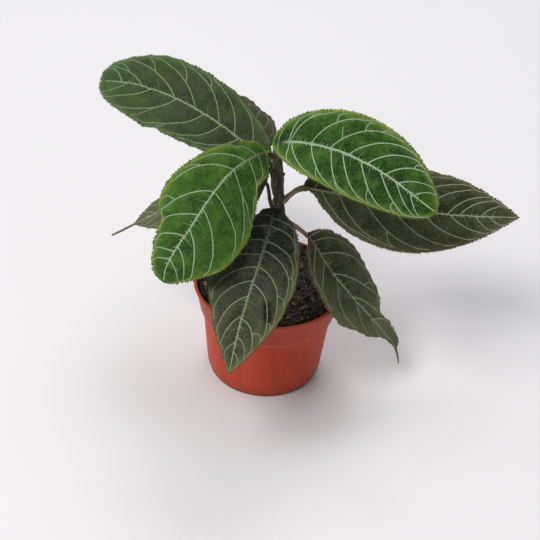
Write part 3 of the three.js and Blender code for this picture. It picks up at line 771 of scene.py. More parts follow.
BROAD_RIB = ((-1, 0.02), (-0.55, 0.14), (0.55, 0.14), (1, 0.02), (0.95, -0.55), (0.45, -1), (-0.45, -1),
             (-0.95, -0.55))
FINE_RIB = ((-1, 0.01), (0, 0.09), (1, 0.01), (0.9, -0.7), (0, -1), (-0.9, -0.7))


def curve(start, bend, end, steps):
    """A path of one bend."""
    t = np.linspace(0, 1, steps)[:, None]
    start, bend, end = (np.array(p, float) for p in (start, bend, end))
    return (1 - t) ** 2 * start + 2 * t * (1 - t) * bend + t * t * end


def inside(leaf, flat, share):
    """The path kept within a share of the blade's half width."""
    s = np.clip(flat[:, 0] / leaf["length"], 0, 1)
    side = np.sign(flat[:, 1])
    limit = share * half_width(leaf, s, side)
    kept = flat.copy()
    kept[:, 1] = side * np.minimum(np.abs(flat[:, 1]), limit)
    return kept


def side_vein(leaf, side, start, end, draw):
    """A side vein: it leaves the midrib, bends towards the tip and then runs along the margin."""
    length = leaf["length"]
    bend_along, bend_out = leaf["lie"][0 if side > 0 else 1]
    reach = VEIN_OUT * half_width(leaf, np.array(end), side)
    out = curve((start * length, 0), ((start + bend_along * (end - start)) * length, bend_out * reach),
                (end * length, reach), VEIN_STEPS)
    tail_end = min(end + draw.uniform(0.05, 0.075), 0.985 * (1 - leaf["drip"]))
    tail_s = np.linspace(end, tail_end, 8)[1:]
    tail_y = (VEIN_OUT + 0.07 * np.linspace(0, 1, 8)[1:]) * half_width(leaf, tail_s, side)
    path = np.vstack([out, np.stack([tail_s * length, tail_y], -1)])
    phase = draw.uniform(0, 6.3)
    path[:, 0] += 0.35 * np.sin(np.linspace(0, 9, len(path)) + phase) * np.linspace(0, 1, len(path)) ** 0.5
    path[:, 1] *= side
    return inside(leaf, path, VEIN_LIMIT)


def fork(leaf, side, reading, veins):
    """A branch of the nearest side vein: it turns outwards and then arches forward along the margin."""
    root_s, root_y, corner_s, corner_y = reading
    wanted = np.array([root_s * leaf["length"], side * root_y])
    root = veins[np.argmin(np.linalg.norm(veins - wanted, axis=1))]
    edge = FORK_OUT * half_width(leaf, np.array(corner_s), side)
    corner = np.array([corner_s * leaf["length"], side * min(corner_y, edge)])
    if corner_y < SHORT_FORK * edge:
        return curve(root, 0.5 * (root + corner) + (1.2, 0), corner, 10)
    end_s = max(root_s, corner_s) + FORK_TAIL
    end = (end_s * leaf["length"], side * FORK_OUT * half_width(leaf, np.array(end_s), side))
    return inside(leaf, curve(root, corner, end, 14), VEIN_LIMIT)


def free_fork(leaf, vein, side, draw):
    """A reading for a fork of a vein that has none: where it leaves the vein and where it ends."""
    root = vein[int(draw.uniform(0.5, 0.68) * (VEIN_STEPS - 1))]
    root_s = root[0] / leaf["length"]
    end_s = root_s + draw.uniform(0.0, 0.035)
    return root_s, abs(root[1]), end_s, 0.9 * float(half_width(leaf, np.array(end_s), side))


def spur(leaf, side, start, out, draw):
    """A thin vein that leaves the midrib and fades out."""
    root = (start * leaf["length"], 0)
    forward = out * draw.uniform(0.15, 0.6)
    tip = (root[0] + forward, side * out)
    bend = (root[0] + 0.4 * forward, side * 0.5 * out)
    return inside(leaf, curve(root, bend, tip, 7), SPUR_LIMIT)


def taper(flat, first, last):
    """A value that falls from first to last along a path."""
    return last + (first - last) * (1 - np.linspace(0, 1, len(flat))) ** 0.7


def leaf_ribs(leaf, settings, draw):
    """All ribs of a leaf: midrib, side veins with their forks, and short spurs."""
    length = leaf["length"]
    s = np.linspace(leaf["join"] - 0.012, 0.99 if leaf["drip"] < LONG_DRIP else 0.97, 90)
    midrib_flat = np.stack([s * length, np.zeros_like(s)], -1)
    wide = 0.5 * settings.midrib_width / MM * (1 - 0.68 * s ** 0.8)
    ribs = [Rib(midrib_flat, wide, 1.2 * (1 - 0.75 * s), 2.6, BROAD_RIB)]
    half_vein = 0.5 * settings.vein_width / MM
    depth = settings.quilting / MM
    forks = list(leaf["forks"])
    laid = {1: [], -1: []}
    for side, veins in ((1, leaf["left"]), (-1, leaf["right"])):
        starts = [start for start, _ in veins]
        for number, (start, end) in enumerate(veins):
            vein = side_vein(leaf, side, start, end, draw)
            laid[side].append(vein)
            small = 1 if FULL_VEINS[0] < start < FULL_VEINS[1] * (1 - leaf["drip"]) else SMALL_VEIN
            ribs.append(Rib(vein, small * taper(vein, half_vein, 0.14), small * taper(vein, depth, 0.2), 2.9,
                            BROAD_RIB))
            forked = any(reading[0] == side and start < reading[1] < end for reading in forks)
            if small == 1 and not (forked or leaf["forks"]):
                forks.append((side, *free_fork(leaf, vein, side, draw)))
            after = starts[number + 1] if number + 1 < len(starts) else min(start + 0.1, 0.93)
            if after - start > 0.095:
                out = draw.uniform(0.18, 0.34) * half_width(leaf, np.array(start), side)
                extra = spur(leaf, side, 0.5 * (start + after), out, draw)
                ribs.append(Rib(extra, taper(extra, 0.16, 0.02), taper(extra, 0.25, 0), 1.3, FINE_RIB))
        place = 0.08
        while place < 0.9 * (1 - leaf["drip"]):
            extra = spur(leaf, side, place, draw.uniform(1.3, 2.6), draw)
            ribs.append(Rib(extra, taper(extra, 0.34, 0.04), taper(extra, 0.1, 0), 1.0, FINE_RIB))
            place += draw.uniform(0.015, 0.035)
    for side, *reading in forks:
        branch = fork(leaf, side, reading, np.vstack(laid[side]))
        ribs.append(Rib(branch, taper(branch, 0.36, 0.12), taper(branch, 0.45, 0.08), 1.6, BROAD_RIB))
    return ribs


def crease_place(leaf, crease, flat):
    """Where flat points lie from a crease: millimetres across it, and shares of its length along it."""
    s_one, y_one, s_two, y_two, _ = crease
    one = np.array([s_one * leaf["length"], y_one])
    line = np.array([s_two * leaf["length"], y_two]) - one
    span = np.linalg.norm(line)
    across = (flat - one) @ np.array([line[1], -line[0]]) / span
    return across, (flat - one) @ line / span ** 2 - 0.5


def away_from(part, lines):
    """Squared distances between flat points and the points of lines, as an array (point, line point)."""
    return (part[:, :1] - lines[:, 0]) ** 2 + (part[:, 1:] - lines[:, 1]) ** 2


def in_blocks(flat, measure):
    """The measure of flat points, taken block by block to save memory."""
    return np.concatenate([measure(flat[first:first + BLOCK]) for first in range(0, len(flat), BLOCK)])


def relief(leaf, ribs, flat):
    """Height of the quilted surface at flat points: grooves along the ribs, soft swells between them."""
    lines = np.concatenate([rib.flat for rib in ribs])
    grooves = np.concatenate([rib.grooves for rib in ribs])
    spreads = np.concatenate([np.full(len(rib.flat), rib.spread) for rib in ribs])
    height = in_blocks(
        flat, lambda part: -(grooves * np.exp(-away_from(part, lines) / spreads ** 2)).max(axis=1))
    swell = np.sin(0.31 * flat[:, 0] + 0.2 * flat[:, 1]) * np.sin(0.27 * flat[:, 1] - 0.13 * flat[:, 0])
    height += 0.3 * swell
    for crease in leaf["creases"]:
        across, along = crease_place(leaf, crease, flat)
        ridge = np.where(across > 0, np.exp(-np.abs(across) / 5), np.exp(-np.abs(across) / 0.8))
        height += crease[4] * ridge * np.exp(-(along / 0.6) ** 4)
    return height


def vein_distance(ribs, flat):
    """Distance from flat points to the nearest broad rib, in millimetres."""
    lines = np.vstack([rib.flat for rib in ribs if rib.profile is BROAD_RIB])
    return in_blocks(flat, lambda part: np.sqrt(away_from(part, lines).min(axis=1)))


# Leaf pieces

# Marks that the material reads, from 0 to 1: nearness to a vein, part of a rib, nearness to the margin,
# lower side, part of the stalk, place along a tooth, light tone with painted light and shade, paleness of
# the veins, and brown flush.
# The mark flat is the place on the spread blade.
LEAF_MARKS = ("near", "rib", "margin", "under", "stalk", "tooth", "fresh", "pale", "flush")
Marks = namedtuple("Marks", LEAF_MARKS)

# Brown at the blade's tip: how strong it is, and the place that it starts from
TIP_SCORCH = {"bright_green": (0.8, 0.88), "olive": (0.6, 0.96)}


def mark_leaf(mesh, flat, **marks):
    """Writes the marks that are given, and 0 for the others."""
    for name in LEAF_MARKS:
        write_attribute(mesh, name, marks.get(name, np.zeros(len(mesh.vertices))))
    write_attribute(mesh, "flat", np.column_stack([flat * MM, np.zeros(len(flat))]))


def tone_and_light_at(leaf, flat):
    """How far a place on a blade is from the dark to the light tone of its finish."""
    # The tables hold the leaf's own tone and also painted light, shade and sheen.
    s = flat[:, 0] / leaf["length"]
    left, right = (np.interp(s, TONE_PLACES, values) for values in leaf["fresh"])
    share = smoothstep(flat[:, 1], -3, 3)
    out = np.abs(flat[:, 1]) / half_width(leaf, np.clip(s, 0, 1), np.sign(flat[:, 1]))
    tone = right + (left - right) * share + 0.3 * out ** 2 - 0.1
    # Painted shadow beside each crease, on its low side away from the midrib.
    for crease in leaf["creases"]:
        across, along = crease_place(leaf, crease, flat)
        tone = tone - 1.1 * np.exp(-((across + 3.5) / 3.5) ** 2 - (along / 0.5) ** 4)
    return tone


def paleness(leaf, flat):
    """How pale the veins are."""
    return np.interp(flat[:, 0] / leaf["length"], TONE_PLACES, leaf["pale"])


def flushing(leaf, flat):
    """How far the brown of the petiole runs up the midrib."""
    strength, reach = leaf["flush"]
    return strength * np.exp(-(np.maximum(flat[:, 0] - leaf["join"] * leaf["length"], 0) / reach) ** 2)


def make_blade(leaf, midrib, ribs, settings):
    """The blade: a fine grid laid on the leaf's surface, quilted, and given its thickness."""
    start_piece()
    bpy.ops.mesh.primitive_grid_add(x_subdivisions=settings.steps, y_subdivisions=settings.rows, size=1)
    blade = bpy.context.object
    grid = points_of(blade.data)
    even = np.clip(grid[:, 0] + 0.5, 0, 1)
    s = even - 0.1 * np.sin(2 * np.pi * even)
    w = np.clip(2 * grid[:, 1], -1, 1)
    half = half_width(leaf, s, np.sign(w))
    room = smoothstep(s, 0.03, 0.1) * (1 - smoothstep(s, 0.93, 0.99)) * smoothstep(half, 3, 10)
    crenate = CRENATE_SIZE * room * np.sin(2 * np.pi * s * leaf["length"] / CRENATE_PITCH)
    flat = np.stack([s * leaf["length"], w * (half + crenate * np.abs(w) ** 3)], -1)
    lift = relief(leaf, ribs, flat) * smoothstep(half, *QUILTED) + 0.5 * settings.thickness / MM
    move_points(blade.data, blade_point(leaf, midrib, s, flat[:, 1], lift) * MM)
    apply_modifier(blade, "SOLIDIFY", thickness=settings.thickness, offset=-1, use_rim=True)
    margin = 1 - np.clip((1 - np.abs(w)) * half / MARGIN_REACH, 0, 1)
    scorch, scorched_from = TIP_SCORCH.get(leaf["finish"], (0, 0.96))
    marks = {"near": 1 - np.clip(vein_distance(ribs, flat) / NEAR_REACH, 0, 1), "margin": margin,
             "fresh": tone_and_light_at(leaf, flat), "pale": paleness(leaf, flat),
             "flush": scorch * smoothstep(s, scorched_from, 0.98) * smoothstep(margin, 0.8, 0.98)}
    both_sides = {name: np.tile(values, 2) for name, values in marks.items()}
    mark_leaf(blade.data, np.tile(flat, (2, 1)), under=np.repeat([0.0, 1.0], len(flat)), **both_sides)
    return blade


def make_ribs(leaf, midrib, ribs, settings):
    """The raised net of veins: closed ribs that show on the upper side and stand out below."""
    points, faces, flats, unders = [], [], [], []
    offset = 0
    skin = 0.5 * settings.thickness / MM
    for rib in ribs:
        path = rib.flat
        step = np.gradient(path, axis=0)
        step /= np.maximum(np.linalg.norm(step, axis=1), 1e-6)[:, None]
        across = np.stack([-step[:, 1], step[:, 0]], -1)
        s = np.clip(path[:, 0] / leaf["length"], 0, 1)
        ground = relief(leaf, ribs, path) * smoothstep(half_width(leaf, s, np.sign(path[:, 1])), *QUILTED)
        keel = 0.25 + 0.9 * rib.widths if rib.profile is BROAD_RIB else 0.1 + 0.35 * rib.widths
        rings = []
        for offset_across, height in rib.profile:
            flat = path + across * (offset_across * rib.widths)[:, None]
            rise = skin + height if height > 0 else -skin + height * keel
            place = np.clip(flat[:, 0] / leaf["length"], 0, 1)
            rings.append(blade_point(leaf, midrib, place, flat[:, 1], ground + rise))
        sides = len(rib.profile)
        points.append(tube_points(np.stack(rings, axis=1)))
        faces += tube_faces(len(path), sides, offset)
        flats.append(np.vstack([np.repeat(path, sides, axis=0), path[:1], path[-1:]]))
        low = [float(height < 0) for _, height in rib.profile]
        unders.append(np.concatenate([np.tile(low, len(path)), [0.5, 0.5]]))
        offset += len(points[-1])
    net = mesh_piece("net", np.vstack(points) * MM, faces)
    flat = np.vstack(flats)
    ones = np.ones(len(flat))
    on_midrib = np.abs(flat[:, 1]) < 0.01
    mark_leaf(net.data, flat, near=ones, rib=ones, under=np.concatenate(unders), pale=paleness(leaf, flat),
              flush=flushing(leaf, flat) * np.where(on_midrib, 1, 0.3))
    return net


def make_teeth(leaf, midrib, settings, draw):
    """The fringe of fine teeth round the margin, which lean towards the tip."""
    tooth = thorn(4)
    matrices, flats = [], []
    for side in (1, -1):
        s = np.linspace(0.015, 0.992, MARGIN_STEPS)
        half = half_width(leaf, s, side)
        margin = blade_point(leaf, midrib, s, side * half, np.zeros_like(s))
        inner = blade_point(leaf, midrib, s, side * 0.96 * half, np.zeros_like(s))
        travelled = np.concatenate([[0], np.cumsum(np.linalg.norm(np.diff(margin, axis=0), axis=1))])
        count = int(travelled[-1] / (settings.tooth_pitch / MM))
        for number in range(count):
            target = (number + draw.uniform(0.3, 0.7)) * travelled[-1] / count
            k = int(np.clip(np.searchsorted(travelled, target), 1, len(s) - 2))
            forward = Vector(margin[k + 1] - margin[k - 1]).normalized()
            out = Vector(margin[k] - inner[k]).normalized()
            out = (out - forward * out.dot(forward)).normalized()
            up = forward.cross(out)
            lean = (out + forward * draw.uniform(0.25, 0.8) + up * draw.uniform(-0.25, 0.25)).normalized()
            wide = (forward - lean * forward.dot(lean)).normalized()
            size = settings.tooth_length * draw.uniform(0.6, 1.2)
            turned = Matrix((wide, lean.cross(wide), lean)).transposed()
            root = Vector(margin[k]) * MM - out * (TOOTH_ROOT * MM)
            matrices.append(stood(root, turned, (TOOTH_RADIUS * MM, TOOTH_THICKNESS * MM, size)))
            flats.append((s[k] * leaf["length"], side * half[k]))
            draw.random()  # a spare draw that holds the later teeth in their places
    shape = points_of(tooth.data)
    fringe = copies("fringe", tooth, matrices)
    tips = np.tile(0.25 + 0.75 * shape[:, 2], len(matrices))
    flat = np.repeat(np.array(flats), len(shape), axis=0)
    mark_leaf(fringe.data, flat, margin=np.ones(len(flat)), tooth=tips, fresh=tone_and_light_at(leaf, flat))
    return fringe


# Petioles and stem

def stem_axis(z):
    """X of the stem's middle at a height."""
    share = np.clip((z - STEM_LEAN_START) / STEM_LEAN_HEIGHT, 0, 2)
    return STEM_FOOT_X - STEM_LEAN * share ** STEM_LEAN_POWER


def stem_radius(z):
    """Radius of the stem at a height: it swells at each leaf's node and closes in the bud."""
    bud = np.clip((z - BUD_START) / (STEM_TOP - BUD_START), 0, 1)
    swells = [np.exp(-(((z - leaf["node"][0]) / NODE_SWELL_HEIGHT) ** 2)) for leaf in LEAVES.values()]
    swell = np.minimum(1, np.maximum.reduce(swells))
    return (STEM_RADIUS + NODE_SWELL * swell * (1 - bud)) * np.sqrt(1 - 0.93 * bud ** 1.6)


# Petiole, in millimetres: faces round it, how far it widens at the stem and over which share of its length,
# where it starts to sink into the midrib, and the length that its marks run over
PETIOLE_SIDES = 20
PETIOLE_FLARE = 0.9
FLARE_SHARE = 0.12
SINK_START = 0.85
PETIOLE_MARKS = 40


def petiole_path(leaf, midrib):
    """Centre line of a petiole and the sideways direction along it."""
    height, azimuth = leaf["node"]
    out = np.array([math.cos(math.radians(azimuth)), math.sin(math.radians(azimuth)), 0])
    axis = np.array([stem_axis(height), 0, height])
    start = axis + out * (stem_radius(height) - 0.8)
    join_place = np.array(leaf["join"])
    along, left, up = blade_frame(leaf, join_place)
    end = midrib_point(midrib, join_place) + midrib_shift(leaf, join_place) * left - 0.85 * up
    span = np.linalg.norm(end - start)
    first = start + 0.4 * span * out + np.array([0, 0, 0.25 * (end[2] - start[2]) + leaf["arch"]])
    last = end - 0.35 * span * along - 0.08 * span * up
    t = np.linspace(0, 1, 30)[:, None]
    path = ((1 - t) ** 3 * start + 3 * t * (1 - t) ** 2 * first + 3 * t * t * (1 - t) * last + t ** 3 * end)
    start_side = np.array([-out[1], out[0], 0])
    return path, start_side * (1 - t) + left * t


def make_petiole(leaf, midrib):
    """The petiole: flared at the stem, channelled above, and sunk into the underside of the midrib."""
    path, side = petiole_path(leaf, midrib)
    forward = np.gradient(path, axis=0)
    forward /= np.linalg.norm(forward, axis=1)[:, None]
    side = side - forward * (side * forward).sum(axis=1)[:, None]
    side /= np.linalg.norm(side, axis=1)[:, None]
    over = np.cross(forward, side)
    t = np.linspace(0, 1, len(path))
    flare = PETIOLE_FLARE * np.exp(-(t / FLARE_SHARE) ** 2)
    sunk = smoothstep(t, SINK_START, 1)
    first, last = leaf["petiole"]
    width = (first + (last - first) * t + flare) * (1 - 0.45 * sunk)
    depth = (1.6 - 0.5 * t + flare) * (1 - 0.6 * sunk)
    strands = []
    for corner in range(PETIOLE_SIDES):
        turn = 2 * math.pi * corner / PETIOLE_SIDES
        channel = 1 - 0.3 * math.exp(-((turn - math.pi / 2) / 0.55) ** 2)
        ripple = 1 + 0.03 * np.sin(23 * t + 2.3 * corner)
        strands.append(path + side * (width * math.cos(turn) * ripple)[:, None]
                       + over * (depth * math.sin(turn) * channel * ripple)[:, None])
    stalk = tube("stalk", strands)
    place = np.concatenate([np.repeat(t, PETIOLE_SIDES), [0, 1]])
    corners = np.concatenate([np.tile(np.arange(PETIOLE_SIDES), len(path)), [0, 0]])
    low = 0.5 - 0.5 * np.sin(2 * np.pi * corners / PETIOLE_SIDES)
    flat = np.column_stack([PETIOLE_MARKS * place - PETIOLE_MARKS, corners])
    mark_leaf(stalk.data, flat, stalk=np.ones(len(place)), under=low,
              flush=np.full(len(place), leaf["flush"][0]))
    return stalk, path


def make_stalk_hairs(path, draw):
    """Short hairs round a petiole."""
    hair = thorn(3)
    matrices = []
    for _ in range(STALK_HAIRS):
        k = draw.randrange(2, len(path) - 3)
        forward = Vector(path[k + 1] - path[k]).normalized()
        out = forward.orthogonal().normalized()
        out.rotate(Matrix.Rotation(draw.uniform(0, 2 * math.pi), 3, forward))
        aim = (out + forward * draw.uniform(0, 0.7)).normalized()
        size = (STALK_HAIR_RADIUS * MM, STALK_HAIR_RADIUS * MM, draw.uniform(1, 2) * MM)
        matrices.append(stood(Vector(path[k]) * MM + out * MM, aimed(aim), size))
    hairs = copies("stalk_hairs", hair, matrices)
    count = len(hairs.data.vertices)
    mark_leaf(hairs.data, np.zeros((count, 2)), stalk=np.ones(count), under=np.ones(count))
    return hairs


def make_leaf(node, leaf, settings, material, seed):
    """A whole leaf, joined into one piece, in place of its node."""
    draw = random.Random(seed)
    midrib = midrib_points(leaf)
    ribs = leaf_ribs(leaf, settings, draw)
    blade = make_blade(leaf, midrib, ribs, settings)
    net = make_ribs(leaf, midrib, ribs, settings)
    fringe = make_teeth(leaf, midrib, settings, draw)
    stalk, path = make_petiole(leaf, midrib)
    hairs = make_stalk_hairs(path, draw)
    whole = join([blade, net, fringe, stalk, hairs])
    smooth_shading(whole)
    name = node.replace("leaf_", "") + "_leaf"
    return dress(lean_back(whole), name, material, "leaf_" + leaf["finish"], node)


# Materials

def leaf_material(name, colours):
    """Blade, veins, margin, teeth and stalk in one material, told apart by the mesh's marks."""
    paint = Paint(f"leaf_{name}")
    tones = Tones(*(getattr(colours, f"{name}_{part}") for part in LEAF_PARTS))
    marks = Marks(*(paint.attribute(mark) for mark in LEAF_MARKS))
    flat = paint.node("Attribute", {"attribute_name": "flat"}).outputs["Vector"]
    mottle = paint.noise(420, 4, flat, 0.7)
    rays = paint.step(paint.noise(800, 2, paint.stretched((0.35, 1, 1), flat)), 0.52, 0.68)
    net = 1 - paint.step(paint.cells("DISTANCE_TO_EDGE", 430, flat), 0.0, 0.1)
    blade = blade_tone(paint, tones, marks, flat, mottle, rays, net)
    edged = margin_tone(paint, tones, marks, blade)
    whole = paint.mix(marks.rib, edged, vein_tone(paint, tones, marks, flat))
    below = blend(tones.dark, 0.45, tones.light, 0.55, 0.035)
    below_vein = tuple(0.6 * v + 0.02 for v in tones.vein)
    whole = paint.mix(marks.under * 0.85, whole, paint.mix(marks.rib, below, below_vein))
    whole = paint.mix(marks.stalk, whole, stalk_tone(paint, tones, marks, flat))
    whole = paint.mix(marks.flush * (1 - marks.stalk), whole, tones.flush)
    tooth_root = blend(tones.margin, 0.5, tones.dark, 0.6)
    tooth_tone = paint.mix(paint.step(marks.tooth, 0.5, 1) * 0.6, tooth_root, (0.24, 0.14, 0.065))
    whole = paint.mix(marks.tooth, whole, tooth_tone)
    grain = paint.noise(1500, 3, flat, 0.7)
    skin = net * -0.6 - rays * 0.6 + grain * 0.3 + mottle * 0.6
    roughness = 0.52 + mottle * 0.16 - marks.rib * 0.05
    return paint.finish(whole, roughness, paint.bump(skin, 0.0005, 0.85), specular=0.06)


def blade_tone(paint, tones, marks, flat, mottle, rays, net):
    """The blade between light and dark, with patches, a fine net, rays along its veins and dusty specks."""
    clouds = paint.noise(60, 3, flat)
    # fresh sets the mix from dark to light: the leaf's own tone with painted light, shade and sheen.
    blade = paint.mix(marks.fresh + clouds * 1.5 + mottle * 1.7 - 1.6, tones.dark, tones.light)
    blade = paint.mix(paint.step(paint.noise(70, 4, flat), 0.47, 0.68) * 0.4, blade, tones.patch)
    blade = paint.mix(rays * marks.pale * (paint.step(marks.near, 0.3, 1) * 0.18 + 0.03), blade, tones.vein)
    blade = paint.mix(net * 0.07, blade, tones.vein)
    blade = paint.mix(paint.step(marks.near, 0.86, 1) * 0.14, blade, tones.vein)
    specks = 1 - paint.step(paint.cells("F1", 260, flat), 0.05, 0.12)
    return paint.mix(specks * 0.2, blade, (0.5, 0.53, 0.45))


def margin_tone(paint, tones, marks, blade):
    """The blade with its glowing band, pale line and brown edge, all clear only where the veins are pale."""
    clear = paint.step(marks.pale, 0.5, 0.95)
    glow = blend(tones.light, 0.6, tones.margin, 0.5)
    bands = ((0.4, 0.95, 0.5, glow), (0.85, 0.95, 0.7, tones.margin), (0.96, 0.99, 0.5, (0.24, 0.12, 0.03)))
    for low, high, share, tone in bands:
        blade = paint.mix(paint.step(marks.margin, low, high) * clear * share, blade, tone)
    return blade


def vein_tone(paint, tones, marks, flat):
    """Veins that go dull in places, with a fine grain."""
    dull = blend(tones.vein, 0.15, tones.dark, 0.4)
    tone = paint.mix(marks.pale - paint.noise(300, 3, flat) * 0.3, dull, tones.vein)
    grainy = paint.step(paint.noise(1300, 3, flat), 0.5, 0.68)
    return paint.mix(grainy * 0.3, tone, shade(tones.vein, 0.5))


def stalk_tone(paint, tones, marks, flat):
    """The petiole: streaked green above, and brown below and where the flush is strong."""
    streak = paint.step(paint.noise(180, 3, paint.stretched((1, 6, 1), flat)), 0.4, 0.65)
    green = paint.mix(streak, (0.085, 0.1, 0.035), (0.05, 0.055, 0.022))
    brown = paint.mix(streak, shade(tones.flush, 1.4), shade(tones.flush, 0.6))
    return paint.mix(paint.step(marks.under * 0.5 + marks.flush * 0.8, 0.45, 0.75), green, brown)


def pot_material(settings):
    """Moulded plastic, a little dusty and scuffed, with a paler worn lip, darker towards the base, painted
    sheen and shade over the collar, and a painted highlight on the ledge under it.
    """
    paint = Paint("pot_plastic")
    height = paint.height()
    body = tuple(settings.body_colour)
    clouds = paint.step(paint.noise(26, 5), 0.35, 0.7)
    colour = paint.mix(clouds * 0.45, body, shade(body, 0.72))
    rubbed = paint.step(paint.noise(60, 4, paint.stretched((1, 1, 3.5)), 0.65), 0.56, 0.74)
    colour = paint.mix(rubbed * 0.12, colour, (0.42, 0.16, 0.1))
    scuffs = paint.step(paint.noise(140, 2, paint.stretched((1, 1, 0.25))), 0.7, 0.76)
    colour = paint.mix(scuffs * 0.25, colour, (0.5, 0.25, 0.18))
    specks = 1 - paint.step(paint.cells("F1", 240), 0.06, 0.12)
    rare = paint.step(paint.noise(52, 1), 0.62, 0.64)
    colour = paint.mix(specks * rare * 0.7, colour, (0.6, 0.5, 0.44))
    lip = paint.step(height, settings.height - 0.0032, settings.height - 0.0018)
    colour = paint.mix(lip * 0.8, colour, tuple(settings.lip_colour))
    streaks = paint.step(paint.noise(190, 3, paint.stretched((1, 1, 0.04))), 0.4, 0.7)
    colour = paint.mix(streaks * 0.3, colour, shade(body, 0.6))
    foot = settings.height - settings.collar_height
    # A thin pale line along the top of the ledge under the collar: a painted highlight.
    ledge = (paint.step(height, foot - 0.0004, foot + 0.0002)
             * (1 - paint.step(height, foot + 0.0006, foot + 0.0016)))
    colour = paint.mix(ledge * 0.2, colour, (0.6, 0.24, 0.18))
    # Over the collar a pale haze that paints a dull sheen, then painted shade.
    collar = paint.step(height, foot, foot + 0.002) * (1 - lip)
    colour = paint.mix(collar * (clouds * 0.12 + 0.06), colour, (0.36, 0.16, 0.13))
    colour = paint.mix(collar * 0.14, colour, shade(body, 0.3))
    # Darker towards the base.
    darker_base = 1 - paint.step(height + paint.noise(90, 4) * 0.02, 0.006, 0.026)
    colour = paint.mix(darker_base * 0.45, colour, (0.1, 0.05, 0.035))
    fine = paint.noise(700, 3)
    roughness = 0.36 + clouds * 0.1 + fine * 0.08 + scuffs * 0.15
    normal = paint.bump(fine * 0.4 + paint.noise(240, 2) * 0.6, 0.0002, 0.35)
    return paint.finish(colour, roughness, normal, specular=0.09)


def soil_material(name, dark, light, roughness):
    """Damp crumbs: each copy has its own tint, and the ground under them varies with its place."""
    paint = Paint(name)
    tint = paint.attribute("tint")
    clods = paint.noise(330, 5, None, 0.7)
    colour = paint.mix(paint.step(clods * 0.6 + tint * 0.6, 0.35, 0.95), tuple(dark), tuple(light))
    normal = paint.bump(paint.noise(1400, 4, None, 0.75), 0.0005, 0.8)
    return paint.finish(colour, roughness - clods * 0.2, normal, specular=0.45)


def stem_material(settings):
    """Dark ridged bark with warm streaks: corky at the foot, greener above, bud-coloured at the top."""
    paint = Paint("stem_bark")
    height = paint.height()
    streaks = paint.step(paint.noise(760, 4, paint.stretched((1, 1, 0.09)), 0.65), 0.44, 0.68)
    patches = paint.noise(90, 3)
    colour = paint.mix(streaks * (patches * 0.9 + 0.1), tuple(settings.dark), tuple(settings.light))
    green = paint.step(height, 0.12, 0.19) * 0.35
    colour = paint.mix(green * patches, colour, (0.09, 0.1, 0.035))
    bud = paint.step(height, 0.1875, 0.194)
    colour = paint.mix(bud * 0.7, colour, tuple(settings.bud))
    corky = 1 - paint.step(height, 0.074, 0.1)
    colour = paint.mix(corky * patches * 0.7, colour, (0.13, 0.095, 0.06))
    normal = paint.bump(streaks * 0.7 + paint.noise(1500, 3) * 0.4, 0.0004, 0.8)
    return paint.finish(colour, 0.62 + patches * 0.15, normal, specular=0.35)


def bud_material(settings):
    """Young scales: pinkish brown streaks with a downy look."""
    paint = Paint("bud_scales")
    bud = tuple(settings.bud)
    streaks = paint.noise(900, 3, paint.stretched((1, 1, 0.15)))
    colour = paint.mix(streaks, shade(bud, 0.5), shade(bud, 1.35))
    return paint.finish(colour, 0.6 + streaks * 0.1, paint.bump(streaks, 0.0003, 0.7), sheen=0.3)


def stub_material(settings):
    """Olive-brown stubs with warm streaks."""
    paint = Paint("leaf_stubs")
    streaks = paint.step(paint.noise(900, 3, paint.stretched((1, 1, 0.12))), 0.35, 0.7)
    colour = paint.mix(streaks, shade(settings.dark, 1.6), (0.13, 0.085, 0.035))
    return paint.finish(colour, 0.6 + streaks * 0.1, paint.bump(streaks, 0.0003, 0.6), specular=0.2)


def hair_material():
    """Pale and brown hairs."""
    paint = Paint("hairs")
    tint = paint.attribute("tint")
    colour = paint.mix(tint, (0.16, 0.1, 0.055), (0.34, 0.26, 0.17))
    return paint.finish(colour, 0.5 + tint * 0.2)


def floor_material(settings):
    """Plain pale studio floor with the faintest unevenness."""
    paint = Paint("floor")
    unevenness = paint.noise(3, 2)
    colour = tuple(settings.floor_colour)
    tone = paint.mix(unevenness, colour, shade(colour, 0.97))
    return paint.finish(tone, 0.85 + unevenness * 0.05, specular=0.1)


# Operators

